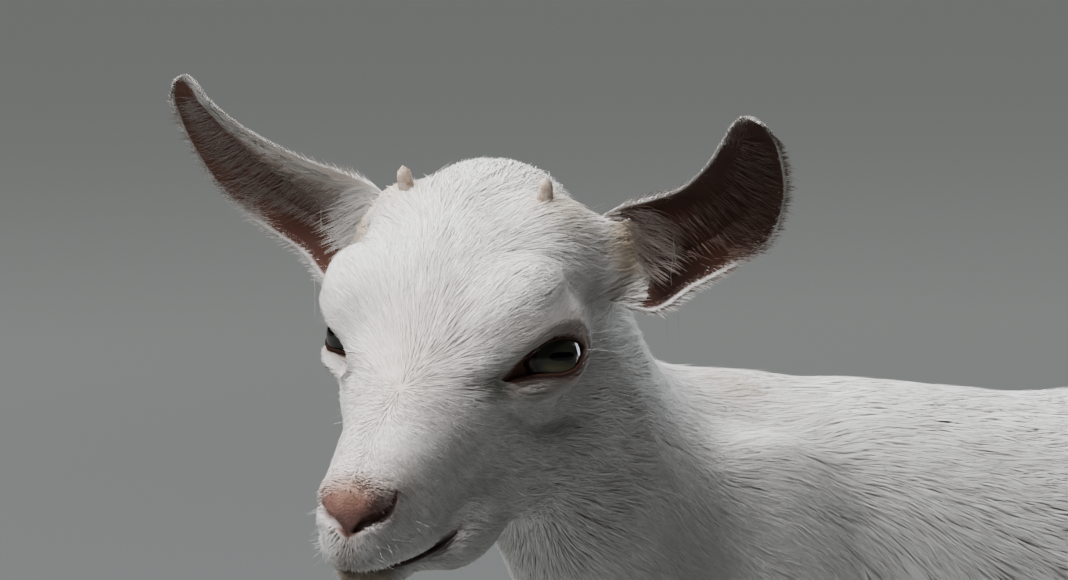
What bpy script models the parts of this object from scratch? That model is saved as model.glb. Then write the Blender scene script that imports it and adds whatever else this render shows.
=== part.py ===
"""A goat kid about four weeks old, standing with its head turned to its left, as a
life-size still model. Metres, +Z up. The kid faces -Y and its left side is +X.

The body is a union of lofted limbs and muscle masses, fused by a voxel remesh and
softened, then parted into named pieces by thin cuts. Ears, eyes, horn buds, claws
and dewclaws are separate solids. Every surface is at the tips of the coat.
"""

import math

import bmesh
import bpy
import numpy as np
from mathutils import Matrix, Vector

# --- Driving dimensions ---
WITHERS_HEIGHT = 0.388
CHEST_DEPTH = 0.172
TRUNK_FRONT = -0.110  # point of the shoulder, measured back from the withers
TRUNK_BACK = 0.272  # point of the rump
BARREL_HALF_WIDTH = 0.064

HEAD_FROM_WITHERS = Vector((0.0647, -0.1865, 0.0259))  # to the point midway between the eyes
HEAD_TURN = math.radians(35.0)  # to the kid's left
HEAD_NOD = math.radians(23.6)  # nose down
HEAD_TILT = math.radians(3.4)  # left side down

EYE_RADIUS = 0.0115
EYE_SPREAD = 0.0325  # eyeball centre from the middle of the head
EYE_OPENING_LENGTH = 0.031
EYE_OPENING_HEIGHT = 0.0125
MOUTH_SWING = math.radians(118)  # how far the lips part, from the front round to each side
HORN_HEIGHT = 0.0120
HORN_RADIUS = 0.0052

KNEE_HEIGHT = 0.128
HOCK_HEIGHT = 0.152
FETLOCK_HEIGHT = 0.046
CORONET_HEIGHT = 0.026
CLAW_LENGTH = 0.036
CLAW_WIDTH = 0.0145
CLAW_GAP = 0.0022

GAP = 0.0004  # between neighbouring pieces
VOXEL = 0.0032
BODY_TRIANGLES = 4000

SIDES = {"left": 1, "right": -1}

# --- Colours ---
COAT_WHITE = (0.86, 0.84, 0.80)
EAR_PINK = (0.78, 0.60, 0.53)
HORN_TAN = (0.55, 0.44, 0.32)
CLAW_AMBER = (0.48, 0.38, 0.25)
EYE_GREEN = (0.22, 0.22, 0.13)


# --- Frames ---
HEAD = (
    Matrix.Translation(HEAD_FROM_WITHERS + Vector((0, 0, WITHERS_HEIGHT)))
    @ Matrix.Rotation(HEAD_TURN, 4, "Z")
    @ Matrix.Rotation(HEAD_NOD, 4, "X")
    @ Matrix.Rotation(HEAD_TILT, 4, "Y")
)


def head_point(across, back, up):
    """A point given in the head's own frame, midway between the eyes: left, back, up."""
    return HEAD @ Vector((across, back, up))


# --- Shape helpers ---
def smooth_rows(rows, count):
    """count rows read from a Catmull-Rom curve through the given rows of numbers."""
    rows = np.array(rows, float)
    ends = np.vstack([2 * rows[0] - rows[1], rows, 2 * rows[-1] - rows[-2]])
    at = np.linspace(0, len(rows) - 1, count)
    span = np.minimum(at.astype(int), len(rows) - 2)
    t = (at - span)[:, None]
    a, b, c, d = (ends[span + k] for k in range(4))
    return 0.5 * (
        2 * b + (c - a) * t + (2 * a - 5 * b + 4 * c - d) * t**2 + (3 * b - a - 3 * c + d) * t**3
    )


def rounded_power(value, power):
    return math.copysign(abs(value) ** power, value)


def section(centre, across, up, half_width, above, below, boxiness=2.0, taper=0.0, corners=20):
    """A closed outline: rounded, wider above than below where taper is over 0."""
    points = []
    for k in range(corners):
        angle = 2 * math.pi * k / corners
        side = rounded_power(math.cos(angle), 2 / boxiness)
        rise = rounded_power(math.sin(angle), 2 / boxiness)
        narrow = 1 - taper * max(0.0, -rise)
        height = above if rise > 0 else below
        points.append(centre + across * half_width * side * narrow + up * height * rise)
    return points


def mesh_from_rings(name, rings):
    """A closed skin over a row of outlines of equal point count."""
    bm = bmesh.new()
    loops = [[bm.verts.new(point) for point in ring] for ring in rings]
    for first, second in zip(loops, loops[1:]):
        for k in range(len(first)):
            after = (k + 1) % len(first)
            bm.faces.new((first[k], first[after], second[after], second[k]))
    bm.faces.new(loops[0][::-1])
    bm.faces.new(loops[-1])
    bmesh.ops.recalc_face_normals(bm, faces=bm.faces)
    return object_from(name, bm)


def object_from(name, bm):
    mesh = bpy.data.meshes.new(name)
    bm.to_mesh(mesh)
    bm.free()
    made = bpy.data.objects.new(name, mesh)
    bpy.context.scene.collection.objects.link(made)
    return made


def ellipsoid(name, centre, radii, turn=None, segments=20):
    """An ellipsoid with its half-axes along X, Y and Z, before an optional turn."""
    bm = bmesh.new()
    matrix = Matrix.Translation(centre) @ (turn or Matrix.Identity(4))
    bmesh.ops.create_uvsphere(
        bm, u_segments=segments, v_segments=segments // 2 + 2, radius=1,
        matrix=matrix @ Matrix.Diagonal((*radii, 1)),
    )
    return object_from(name, bm)


def limb(name, stations, count=18, forward=Vector((0, -1, 0))):
    """A loft along a bent line. A station is x, y, z, half-depth along forward, half-width."""
    rows = smooth_rows(stations, count)
    rings = []
    for k, row in enumerate(rows):
        before, after = rows[max(k - 1, 0)], rows[min(k + 1, count - 1)]
        along = (Vector(after[:3]) - Vector(before[:3])).normalized()
        across = along.cross(forward).normalized()
        ahead = across.cross(along).normalized()
        rings.append(section(Vector(row[:3]), across, ahead, row[4], row[3], row[3], corners=16))
    return mesh_from_rings(name, rings)


# --- Body masses ---
def trunk_mass():
    """The barrel, from the brisket to the rump. A station is y, top, bottom, half-width."""
    top = WITHERS_HEIGHT
    floor = WITHERS_HEIGHT - CHEST_DEPTH
    wide = BARREL_HALF_WIDTH
    stations = [
        (TRUNK_FRONT, top - 0.088, floor + 0.052, 0.020),
        (-0.092, top - 0.052, floor + 0.022, 0.040),
        (-0.050, top - 0.014, floor + 0.006, 0.051),
        (0.000, top, floor, 0.055),
        (0.050, top - 0.004, floor - 0.002, 0.060),
        (0.100, top - 0.011, floor + 0.002, wide),
        (0.150, top - 0.011, floor + 0.012, wide - 0.001),
        (0.190, top - 0.004, floor + 0.028, 0.057),
        (0.228, top - 0.007, floor + 0.048, 0.049),
        (0.256, top - 0.027, floor + 0.072, 0.035),
        (TRUNK_BACK, top - 0.048, floor + 0.098, 0.014),
    ]
    rings = []
    for y, high, low, half_width in smooth_rows(stations, 34):
        middle = low + 0.54 * (high - low)
        rings.append(
            section(Vector((0, y, middle)), Vector((1, 0, 0)), Vector((0, 0, 1)),
                    half_width, high - middle, middle - low, boxiness=2.15, taper=0.16, corners=32)
        )
    return mesh_from_rings("trunk_mass", rings)


def neck_mass():
    """The neck bends to the kid's left, from between the shoulders to the poll and throat."""
    poll = head_point(0, 0.044, -0.006)
    back = WITHERS_HEIGHT
    stations = [
        (0.000, 0.006, back - 0.078, 0.076, 0.040),
        (0.003, -0.042, back - 0.066, 0.075, 0.042),
        (0.013, -0.083, back - 0.045, 0.065, 0.040),
        (0.028, -0.116, back - 0.013, 0.057, 0.037),
        (poll.x, poll.y, poll.z, 0.048, 0.036),
        (*head_point(0, 0.018, -0.010), 0.040, 0.031),
    ]
    return limb("neck_mass", stations, count=22, forward=Vector((0, -0.4, 0.9)))


def shoulder_masses(side, s):
    """Shoulder blade with its muscle, the point of the shoulder and the upper arm."""
    lean = Matrix.Rotation(math.radians(22), 4, "X")
    return [
        ellipsoid(f"{side}_blade", (s * 0.038, -0.024, 0.306), (0.019, 0.044, 0.074), lean),
        ellipsoid(f"{side}_point", (s * 0.034, -0.078, 0.275), (0.022, 0.028, 0.036)),
        limb(f"{side}_upper_arm", [
            (s * 0.036, -0.070, 0.268, 0.030, 0.022),
            (s * 0.042, -0.030, 0.246, 0.034, 0.021),
            (s * 0.043, 0.004, 0.224, 0.026, 0.018),
        ], count=10),
    ]


def haunch_masses(side, s, step):
    """Hip, thigh and stifle. step moves the stifle with its leg."""
    lean = Matrix.Rotation(math.radians(-24), 4, "X")
    return [
        ellipsoid(f"{side}_thigh", (s * 0.037, 0.204 + 0.3 * step, 0.305), (0.026, 0.052, 0.078), lean),
        ellipsoid(f"{side}_stifle", (s * 0.047, 0.170 + 0.6 * step, 0.262), (0.017, 0.024, 0.036)),
        ellipsoid(f"{side}_buttock", (s * 0.026, 0.240 + 0.2 * step, 0.312), (0.021, 0.030, 0.048)),
    ]


def front_leg(side, s, step):
    """From the elbow down to inside the claws. step moves the foot back."""
    return limb(f"front_{side}_leg_mass", [
        (s * 0.041, -0.002 + 0.1 * step, 0.252, 0.028, 0.018),
        (s * 0.043, -0.004 + 0.2 * step, 0.222, 0.0235, 0.0180),
        (s * 0.043, -0.010 + 0.3 * step, 0.190, 0.0180, 0.0160),
        (s * 0.042, -0.016 + 0.6 * step, KNEE_HEIGHT + 0.026, 0.0145, 0.0140),
        (s * 0.042, -0.019 + 0.7 * step, KNEE_HEIGHT, 0.0168, 0.0162),
        (s * 0.042, -0.017 + 0.75 * step, KNEE_HEIGHT - 0.026, 0.0132, 0.0130),
        (s * 0.042, -0.017 + 0.9 * step, 0.076, 0.0124, 0.0122),
        (s * 0.042, -0.016 + step, FETLOCK_HEIGHT + 0.002, 0.0148, 0.0146),
        (s * 0.042, -0.023 + step, CORONET_HEIGHT + 0.004, 0.0120, 0.0138),
        (s * 0.042, -0.029 + step, 0.012, 0.0125, 0.0135),
    ], count=34)


def hind_leg(side, s, step):
    """From the stifle, back to the hock, and down to inside the claws."""
    return limb(f"hind_{side}_leg_mass", [
        (s * 0.045, 0.184 + 0.5 * step, 0.282, 0.046, 0.020),
        (s * 0.046, 0.190 + 0.6 * step, 0.246, 0.034, 0.0185),
        (s * 0.045, 0.214 + 0.7 * step, 0.207, 0.0215, 0.0150),
        (s * 0.044, 0.238 + 0.85 * step, HOCK_HEIGHT + 0.020, 0.0162, 0.0136),
        (s * 0.044, 0.247 + 0.9 * step, HOCK_HEIGHT - 0.004, 0.0188, 0.0150),
        (s * 0.044, 0.243 + 0.95 * step, HOCK_HEIGHT - 0.032, 0.0142, 0.0128),
        (s * 0.044, 0.238 + step, 0.080, 0.0130, 0.0122),
        (s * 0.044, 0.235 + step, FETLOCK_HEIGHT + 0.002, 0.0150, 0.0146),
        (s * 0.044, 0.227 + step, CORONET_HEIGHT + 0.004, 0.0120, 0.0138),
        (s * 0.044, 0.221 + step, 0.012, 0.0125, 0.0135),
    ], count=34)


def tail_mass():
    top = WITHERS_HEIGHT
    return limb("tail_mass", [
        (0.000, 0.240, top - 0.034, 0.022, 0.022),
        (0.000, 0.270, top - 0.022, 0.017, 0.019),
        (-0.001, 0.298, top - 0.017, 0.014, 0.0165),
        (-0.002, 0.324, top - 0.029, 0.011, 0.0130),
        (-0.003, 0.338, top - 0.048, 0.005, 0.0060),
    ], count=14, forward=Vector((0, -0.2, 1)))


# --- Head masses, in the head's own frame ---
def head_mass():
    """Skull and muzzle. A station is back, top, bottom, half-width, boxiness, taper."""
    stations = [
        (-0.0905, -0.0100, -0.0260, 0.0060, 2.2, 0.10),
        (-0.0870, -0.0040, -0.0360, 0.0112, 2.3, 0.10),
        (-0.0760, -0.0005, -0.0430, 0.0150, 2.3, 0.14),
        (-0.0600, 0.0022, -0.0475, 0.0190, 2.2, 0.20),
        (-0.0430, 0.0070, -0.0505, 0.0212, 2.1, 0.26),
        (-0.0260, 0.0150, -0.0550, 0.0268, 2.1, 0.34),
        (-0.0100, 0.0265, -0.0595, 0.0335, 2.2, 0.42),
        (0.0080, 0.0355, -0.0620, 0.0365, 2.3, 0.42),
        (0.0260, 0.0375, -0.0580, 0.0360, 2.2, 0.38),
        (0.0440, 0.0385, -0.0520, 0.0345, 2.1, 0.26),
        (0.0590, 0.0330, -0.0400, 0.0290, 2.0, 0.16),
        (0.0690, 0.0180, -0.0240, 0.0170, 2.0, 0.10),
    ]
    rings = []
    for back, top, bottom, half_width, boxiness, taper in smooth_rows(stations, 40):
        middle = bottom + 0.60 * (top - bottom)
        rings.append(
            section(Vector((0, back, middle)), Vector((1, 0, 0)), Vector((0, 0, 1)),
                    half_width, top - middle, middle - bottom, boxiness, taper, corners=32)
        )
    return mesh_from_rings("skull_mass", rings)


def head_side_masses(side, s):
    """Brow, orbit, cheek, jaw, lip, nostril wing and horn base of one side."""
    cheek_lean = Matrix.Rotation(math.radians(-18), 4, "X")
    return [
        ellipsoid(f"{side}_brow", (s * 0.0250, 0.0010, 0.0165), (0.0165, 0.0190, 0.0140)),
        ellipsoid(f"{side}_orbit", (s * 0.0305, 0.0005, 0.0000), (0.0165, 0.0200, 0.0180)),
        ellipsoid(f"{side}_temple", (s * 0.0250, 0.0300, 0.0100), (0.0160, 0.0220, 0.0240)),
        ellipsoid(f"{side}_cheek", (s * 0.0212, 0.0050, -0.0355), (0.0130, 0.0290, 0.0270), cheek_lean),
        ellipsoid(f"{side}_jaw", (s * 0.0142, -0.0320, -0.0405), (0.0105, 0.0350, 0.0120)),
        ellipsoid(f"{side}_lip", (s * 0.0090, -0.0640, -0.0260), (0.0102, 0.0175, 0.0130)),
        ellipsoid(f"{side}_nostril_wing", (s * 0.0066, -0.0800, -0.0085), (0.0068, 0.0092, 0.0075)),
        ellipsoid(f"{side}_horn_base", (s * 0.0235, 0.0350, 0.0290), (0.0110, 0.0120, 0.0095)),
        ellipsoid(f"{side}_ear_root", (s * 0.0365, 0.0400, 0.0120), (0.0135, 0.0130, 0.0175)),
    ]


def head_masses():
    pieces = [
        head_mass(),
        ellipsoid("nose_pad", (0, -0.0800, -0.0150), (0.0115, 0.0110, 0.0130)),
        ellipsoid("chin", (0, -0.0700, -0.0390), (0.0115, 0.0130, 0.0085)),
        ellipsoid("poll", (0, 0.0500, 0.0230), (0.0280, 0.0170, 0.0175)),
    ]
    for side, s in SIDES.items():
        pieces += head_side_masses(side, s)
    for piece in pieces:
        piece.data.transform(HEAD)
    return pieces


# --- Joining and softening ---
def evaluated_mesh(obj):
    graph = bpy.context.evaluated_depsgraph_get()
    graph.update()
    return bpy.data.meshes.new_from_object(obj.evaluated_get(graph))


def joined(name, pieces):
    """One mesh holding all the pieces, which are removed."""
    bm = bmesh.new()
    for piece in pieces:
        bm.from_mesh(piece.data)
        bpy.data.objects.remove(piece)
    return object_from(name, bm)


def bake_modifiers(obj):
    """Gives the object its evaluated mesh, with no modifiers left."""
    mesh = evaluated_mesh(obj)
    obj.modifiers.clear()
    obj.data = mesh


def fused(name, pieces, soften=7):
    """The pieces as one soft skin, with fewer faces away from the head."""
    body = joined(name, pieces)
    remesh = body.modifiers.new("fuse", "REMESH")
    remesh.mode = "VOXEL"
    remesh.voxel_size = VOXEL
    smooth = body.modifiers.new("soften", "SMOOTH")
    smooth.factor = 0.5
    smooth.iterations = soften
    bake_modifiers(body)
    return body


def thinned(body, triangles):
    """Fewer triangles, kept mostly on the head."""
    coarse = body.vertex_groups.new(name="coarse")
    centre = head_point(0, -0.01, -0.005)
    for vertex in body.data.vertices:
        near = (vertex.co - centre).length < 0.098
        coarse.add([vertex.index], 0.3 if near else 1.0, "REPLACE")
    body.data.calc_loop_triangles()
    decimate = body.modifiers.new("thin", "DECIMATE")
    decimate.ratio = triangles / len(body.data.loop_triangles)
    decimate.vertex_group = coarse.name
    decimate.vertex_group_factor = 0.002
    decimate.use_collapse_triangulate = True
    bake_modifiers(body)
    return body


def cut(obj, cutter, operation="DIFFERENCE"):
    boolean = obj.modifiers.new("cut", "BOOLEAN")
    boolean.operation = operation
    boolean.object = cutter
    bake_modifiers(obj)


def hide_away(obj, cutters):
    for collection in list(obj.users_collection):
        collection.objects.unlink(obj)
    cutters.objects.link(obj)
    obj.hide_render = True
    obj.display_type = "WIRE"


# --- Cuts between pieces ---
def disc(bm, centre, normal, radius):
    """A thin round cutting plate."""
    turn = Vector(normal).normalized().to_track_quat("Z", "Y").to_matrix().to_4x4()
    bmesh.ops.create_cone(
        bm, cap_ends=True, segments=24, radius1=radius, radius2=radius, depth=GAP,
        matrix=Matrix.Translation(centre) @ turn,
    )


def coronet_plane(side, s, leg, step):
    """Centre and normal of the slanting plane between a pastern and its claws."""
    y = {"front": -0.0265, "hind": 0.2235}[leg] + step
    x = {"front": 0.042, "hind": 0.044}[leg]
    return Vector((s * x, y, CORONET_HEIGHT - 0.001)), Vector((0, 0.34, 1)).normalized()


def parting_plates(steps):
    """The plates that part the body, in cutters whose own plates do not meet."""
    head_cut, neck_cut, limb_cuts = bmesh.new(), bmesh.new(), bmesh.new()
    neck_way = HEAD.to_3x3() @ Vector((0, 0.72, -0.70))
    disc(head_cut, head_point(0.0050, 0.0430, -0.0250), neck_way, 0.072)
    disc(neck_cut, Vector((0.008, -0.0840, WITHERS_HEIGHT - 0.054)), Vector((-0.24, 0.86, -0.52)), 0.105)
    disc(limb_cuts, Vector((0, TRUNK_BACK + 0.002, WITHERS_HEIGHT - 0.022)), Vector((0, 1, 0.25)), 0.036)
    for side, s in SIDES.items():
        front, hind = steps["front", side], steps["hind", side]
        disc(limb_cuts, Vector((s * 0.043, -0.006 + 0.2 * front, 0.203)), Vector((0, 0.2, 1)), 0.036)
        disc(limb_cuts, Vector((s * 0.042, -0.018 + 0.7 * front, KNEE_HEIGHT)), Vector((0, 0, 1)), 0.030)
        disc(limb_cuts, Vector((s * 0.046, 0.198 + 0.65 * hind, 0.232)), Vector((0, -0.45, 1)), 0.044)
        disc(limb_cuts, Vector((s * 0.044, 0.243 + 0.9 * hind, HOCK_HEIGHT)), Vector((0, 0.25, 1)), 0.030)
        for leg, step in (("front", front), ("hind", hind)):
            centre, normal = coronet_plane(side, s, leg, step)
            disc(limb_cuts, centre, normal, 0.026)
    return [
        object_from("head_plate", head_cut),
        object_from("neck_plate", neck_cut),
        object_from("limb_plates", limb_cuts),
    ]


def islands(bm):
    """The separate bodies of a mesh, each as a set of vertices."""
    left = set(bm.verts)
    found = []
    while left:
        group, edge = set(), [next(iter(left))]
        while edge:
            vertex = edge.pop()
            if vertex in group:
                continue
            group.add(vertex)
            edge.extend(e.other_vert(vertex) for e in vertex.link_edges)
        left -= group
        found.append(group)
    return found


def part_by_anchor(body, anchors):
    """Splits the body and names each piece by the anchor point nearest to its middle."""
    bm = bmesh.new()
    bm.from_mesh(body.data)
    pieces = {}
    for group in islands(bm):
        middle = sum((v.co for v in group), Vector()) / len(group)
        name = min(anchors, key=lambda anchor: (anchors[anchor] - middle).length)
        single = bmesh.new()
        single.from_mesh(body.data)
        single.verts.ensure_lookup_table()
        keep = {v.index for v in group}
        bmesh.ops.delete(single, geom=[v for v in single.verts if v.index not in keep], context="VERTS")
        if name in pieces:
            smaller = min(pieces[name], object_from(name, single), key=lambda o: len(o.data.vertices))
            kept = next(o for o in bpy.data.objects if o.name.startswith(name) and o is not smaller)
            bpy.data.objects.remove(smaller)
            kept.name = name
            pieces[name] = kept
        else:
            pieces[name] = object_from(name, single)
    bm.free()
    bpy.data.objects.remove(body)
    return pieces


# --- Ears, eyes, horn buds and claws ---
def ear_solid(side, s):
    """A cupped leaf that leaves the head sideways and curves up to a round tip.

    A station is a point on the upper edge, the point across from it on the lower edge,
    the depth of the cup between them, and the thickness.
    """
    stations = [
        (33, 46, 22, 40, 33, 2, 5.0, 6.0),
        (43, 51, 26, 56, 36, -2, 7.5, 6.0),
        (53, 52, 29, 67, 43, 3.5, 7.5, 5.4),
        (66, 46, 37, 79, 44.5, 10.5, 6.5, 5.0),
        (79, 35.5, 51.5, 93, 46, 20, 5.0, 4.8),
        (87, 29.5, 63, 101, 42.5, 38, 3.6, 4.6),
        (92, 29.5, 70.5, 103, 36.5, 57, 1.8, 4.2),
        (96.5, 31.5, 73, 101.5, 33.5, 66.5, 0.6, 3.6),
        (98.6, 32.2, 72.6, 99.8, 32.8, 71.2, 0.0, 1.6),
    ]
    rows = smooth_rows(stations, 16) / 1000
    rings = []
    for k, row in enumerate(rows):
        upper, lower = Vector(row[:3]), Vector(row[3:6])
        before, after = rows[max(k - 1, 0)], rows[min(k + 1, len(rows) - 1)]
        along = Vector(after[:3] + after[3:6] - before[:3] - before[3:6])
        wide = (upper - lower) / 2
        opening = along.cross(wide).normalized()
        cup, thickness = row[6:8]
        ring = []
        for corner in range(12):
            angle = 2 * math.pi * corner / 12
            depth = thickness / 2 * math.sin(angle) - cup * math.sin(angle) ** 2
            place = (upper + lower) / 2 + wide * math.cos(angle) + opening * depth
            ring.append(HEAD @ Vector((s * place.x, place.y, place.z)))
        rings.append(ring)
    return mesh_from_rings(f"{side}_ear", rings)


def eye_axes(s):
    """Eye centre, gaze, and the directions along and across the lids, in the head's frame."""
    centre = Vector((s * EYE_SPREAD, 0, -0.0015))
    gaze = Vector((s * 0.77, -0.52, 0.365)).normalized()
    along = Vector((s * 0.532, 0.844, 0.083))
    along = (along - gaze * along.dot(gaze)).normalized()
    across = gaze.cross(along).normalized()
    return centre, gaze, along, across if across.z > 0 else -across


def eye_ball(name, s, radius):
    centre, gaze, _, _ = eye_axes(s)
    turn = (HEAD.to_3x3() @ gaze).to_track_quat("Z", "Y").to_matrix().to_4x4()
    return ellipsoid(name, HEAD @ centre, (radius, radius, radius), turn, segments=18)


def eye_opening(side, s):
    """An almond prism through the lids."""
    centre, gaze, along, across = eye_axes(s)
    rings = []
    for depth in (0.002, 0.024):
        ring = []
        for corner in range(20):
            angle = 2 * math.pi * corner / 20
            height = EYE_OPENING_HEIGHT / 2 * rounded_power(math.sin(angle), 1.35)
            offset = along * (EYE_OPENING_LENGTH / 2 * math.cos(angle) - 0.0045) + across * height
            ring.append(HEAD @ (centre + offset + gaze * depth))
        rings.append(ring)
    return mesh_from_rings(f"{side}_eye_opening", rings)


def horn_bud(side, s):
    """A blunt cone standing on the forehead in front of the ear."""
    base = Vector((s * 0.0235, 0.0340, 0.0330))
    lean = Vector((s * 0.10, 0.10, 1)).normalized()
    rings = []
    for rise, radius in ((-0.004, 1.0), (0.002, 0.94), (0.006, 0.78), (0.0095, 0.56), (0.012, 0.36), (0.0136, 0.14)):
        centre = base + lean * (rise * HORN_HEIGHT / 0.0136)
        rings.append([
            HEAD @ point
            for point in section(centre, Vector((1, 0, 0)), Vector((0, 1, 0)),
                                 radius * HORN_RADIUS, radius * HORN_RADIUS, radius * HORN_RADIUS, corners=14)
        ])
    return mesh_from_rings(f"{side}_horn", rings)


def claw(name, centre, inner, coronet):
    """One claw of a foot, flat on the floor. inner is +1 where the cleft is on its -X side."""
    stations = [
        (0.0000, 0.50, 0.0000, 1.00),
        (0.0040, 0.50, 0.0004, 1.02),
        (0.0140, 0.44, 0.0032, 1.00),
        (0.0240, 0.385, 0.0062, 0.95),
        (0.0340, 0.34, 0.0090, 0.88),
    ]
    rings = []
    for height, long, set_back, wide in stations:
        ring = []
        for corner in range(14):
            angle = 2 * math.pi * corner / 14
            toe = math.cos(angle)
            side = math.sin(angle) * inner
            flat = 0.62 if side < 0 else 1.0
            narrow = 1 - 0.30 * max(0.0, toe) ** 1.5
            ring.append(Vector((
                centre.x + inner * 0.5 * CLAW_GAP + CLAW_WIDTH * wide * (0.38 * inner + 0.62 * narrow * flat * math.sin(angle)),
                centre.y + set_back - CLAW_LENGTH * long * toe,
                height,
            )))
        rings.append(ring)
    made = mesh_from_rings(name, rings)
    bm = bmesh.new()
    bm.from_mesh(made.data)
    plane, normal = coronet
    bmesh.ops.bisect_plane(
        bm, geom=bm.verts[:] + bm.edges[:] + bm.faces[:], plane_co=plane - normal * GAP,
        plane_no=normal, clear_outer=True,
    )
    bmesh.ops.holes_fill(bm, edges=bm.edges[:])
    bmesh.ops.recalc_face_normals(bm, faces=bm.faces)
    bm.to_mesh(made.data)
    bm.free()
    return made


def dewclaw(name, centre, s):
    """A small horn cone at the back of the fetlock."""
    bm = bmesh.new()
    down = Vector((s * 0.25, 0.55, -1)).normalized().to_track_quat("Z", "Y").to_matrix().to_4x4()
    bmesh.ops.create_cone(
        bm, cap_ends=True, segments=10, radius1=0.0046, radius2=0.0026, depth=0.011,
        matrix=Matrix.Translation(centre) @ down,
    )
    return object_from(name, bm)


def foot_solids(leg, side, s, step):
    """The two claws and two dewclaws of one foot."""
    plane, normal = coronet_plane(side, s, leg, step)
    middle = Vector((plane.x, plane.y - 0.0050, 0))
    made = []
    for place, inner in (("outer", s), ("inner", -s)):
        made.append(claw(f"{leg}_{side}_{place}_claw", middle, inner, (plane, normal)))
        fetlock = {"front": -0.0155, "hind": 0.2355}[leg] + step
        centre = Vector((plane.x + inner * 0.0078, fetlock + 0.0125, FETLOCK_HEIGHT - 0.006))
        made.append(dewclaw(f"{leg}_{side}_{place}_dewclaw", centre, inner))
    return made


# --- Nose and mouth ---
def nostril(side, s):
    """A comma-shaped slit cutter, rising outwards from beside the middle of the nose."""
    stations = [
        (0.0052, -0.0890, -0.0185, 0.0010),
        (0.0075, -0.0885, -0.0145, 0.0016),
        (0.0115, -0.0868, -0.0100, 0.0021),
        (0.0155, -0.0835, -0.0070, 0.0013),
    ]
    outward = Vector((s * 0.42, -0.86, 0.15)).normalized()
    rows = smooth_rows(stations, 9)
    rings = []
    for k, (across, back, up, half_width) in enumerate(rows):
        before, after = rows[max(k - 1, 0)], rows[min(k + 1, len(rows) - 1)]
        along = Vector((s * (after[0] - before[0]), after[1] - before[1], after[2] - before[2]))
        wide = along.cross(outward).normalized()
        centre = Vector((s * across, back, up))
        rings.append([
            HEAD @ (centre + wide * half_width * math.cos(a) + outward * 0.0055 * math.sin(a))
            for a in (2 * math.pi * k / 10 for k in range(10))
        ])
    return mesh_from_rings(f"{side}_nostril", rings)


def mouth_groove(head):
    """A thin wedge along the lips, laid on the head's own surface."""
    back_to_local = HEAD.inverted()
    count = 25
    rings = []
    for k in range(count):
        swing = MOUTH_SWING * (2 * k / (count - 1) - 1)
        far = abs(swing) / MOUTH_SWING
        start = Vector((0, -0.0640, -0.0285 - 0.0062 * far))
        outward = Vector((math.sin(swing), -math.cos(swing), 0))
        world_out = (HEAD.to_3x3() @ outward).normalized()
        hit, place, _, _ = head.ray_cast(HEAD @ (start + outward * 0.06), -world_out)
        place = back_to_local @ place if hit else start + outward * 0.018
        size = 0.0010 * (1 - 0.55 * far)
        rings.append([
            HEAD @ (place + outward * a * 1.7 * size + Vector((0, 0, 1)) * b * size)
            for a, b in ((2, 1.0), (-1, 0.25), (-1, -0.25), (2, -1.0))
        ])
    return mesh_from_rings("mouth_groove", rings)


# --- Materials ---
def plain_material(name, colour, roughness):
    material = bpy.data.materials.new(name)
    material.use_nodes = True
    shader = material.node_tree.nodes["Principled BSDF"]
    shader.inputs["Base Color"].default_value = (*colour, 1)
    shader.inputs["Roughness"].default_value = roughness
    material.diffuse_color = (*colour, 1)
    return material


def colour_of(name):
    if name.endswith("_ear"):
        return EAR_PINK, 0.8
    if name.endswith("_eye"):
        return EYE_GREEN, 0.12
    if name.endswith("_horn"):
        return HORN_TAN, 0.6
    if name.endswith("claw"):
        return CLAW_AMBER, 0.5
    return COAT_WHITE, 0.9


# --- Assembly ---
STEPS = {
    ("front", "left"): 0.006,
    ("front", "right"): -0.012,
    ("hind", "left"): 0.014,
    ("hind", "right"): -0.008,
}


def body_anchors():
    anchors = {
        "head": head_point(0, -0.012, -0.010),
        "neck": Vector((0.034, -0.112, 0.368)),
        "trunk": Vector((0, 0.090, 0.300)),
        "tail": Vector((0, 0.305, 0.366)),
    }
    for side, s in SIDES.items():
        front, hind = STEPS["front", side], STEPS["hind", side]
        anchors[f"front_{side}_forearm"] = Vector((s * 0.043, -0.013 + 0.4 * front, 0.165))
        anchors[f"front_{side}_cannon"] = Vector((s * 0.042, -0.018 + 0.9 * front, 0.075))
        anchors[f"hind_{side}_gaskin"] = Vector((s * 0.045, 0.220 + 0.75 * hind, 0.194))
        anchors[f"hind_{side}_cannon"] = Vector((s * 0.044, 0.238 + hind, 0.090))
        anchors[f"front_{side}_inside_claws"] = Vector((s * 0.042, -0.028 + front, 0.010))
        anchors[f"hind_{side}_inside_claws"] = Vector((s * 0.044, 0.222 + hind, 0.010))
    return anchors


def flesh():
    """The whole fused body, thinned, before it is parted."""
    pieces = [trunk_mass(), neck_mass(), tail_mass(), *head_masses()]
    for side, s in SIDES.items():
        pieces += shoulder_masses(side, s)
        pieces += haunch_masses(side, s, STEPS["hind", side])
        pieces.append(front_leg(side, s, STEPS["front", side]))
        pieces.append(hind_leg(side, s, STEPS["hind", side]))
    return thinned(fused("flesh", pieces), BODY_TRIANGLES)


def swollen(body, amount):
    """A slightly larger copy, to cut the pieces that stand on the body."""
    copy = body.copy()
    copy.data = body.data.copy()
    copy.name = "swollen_body"
    bpy.context.scene.collection.objects.link(copy)
    push = copy.modifiers.new("push", "DISPLACE")
    push.strength = amount
    push.mid_level = 0
    bake_modifiers(copy)
    return copy


def largest_part(obj):
    """Drops all but the largest body of an object."""
    bm = bmesh.new()
    bm.from_mesh(obj.data)
    keep = max(islands(bm), key=len)
    bmesh.ops.delete(bm, geom=[v for v in bm.verts if v not in keep], context="VERTS")
    bm.to_mesh(obj.data)
    bm.free()


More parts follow.
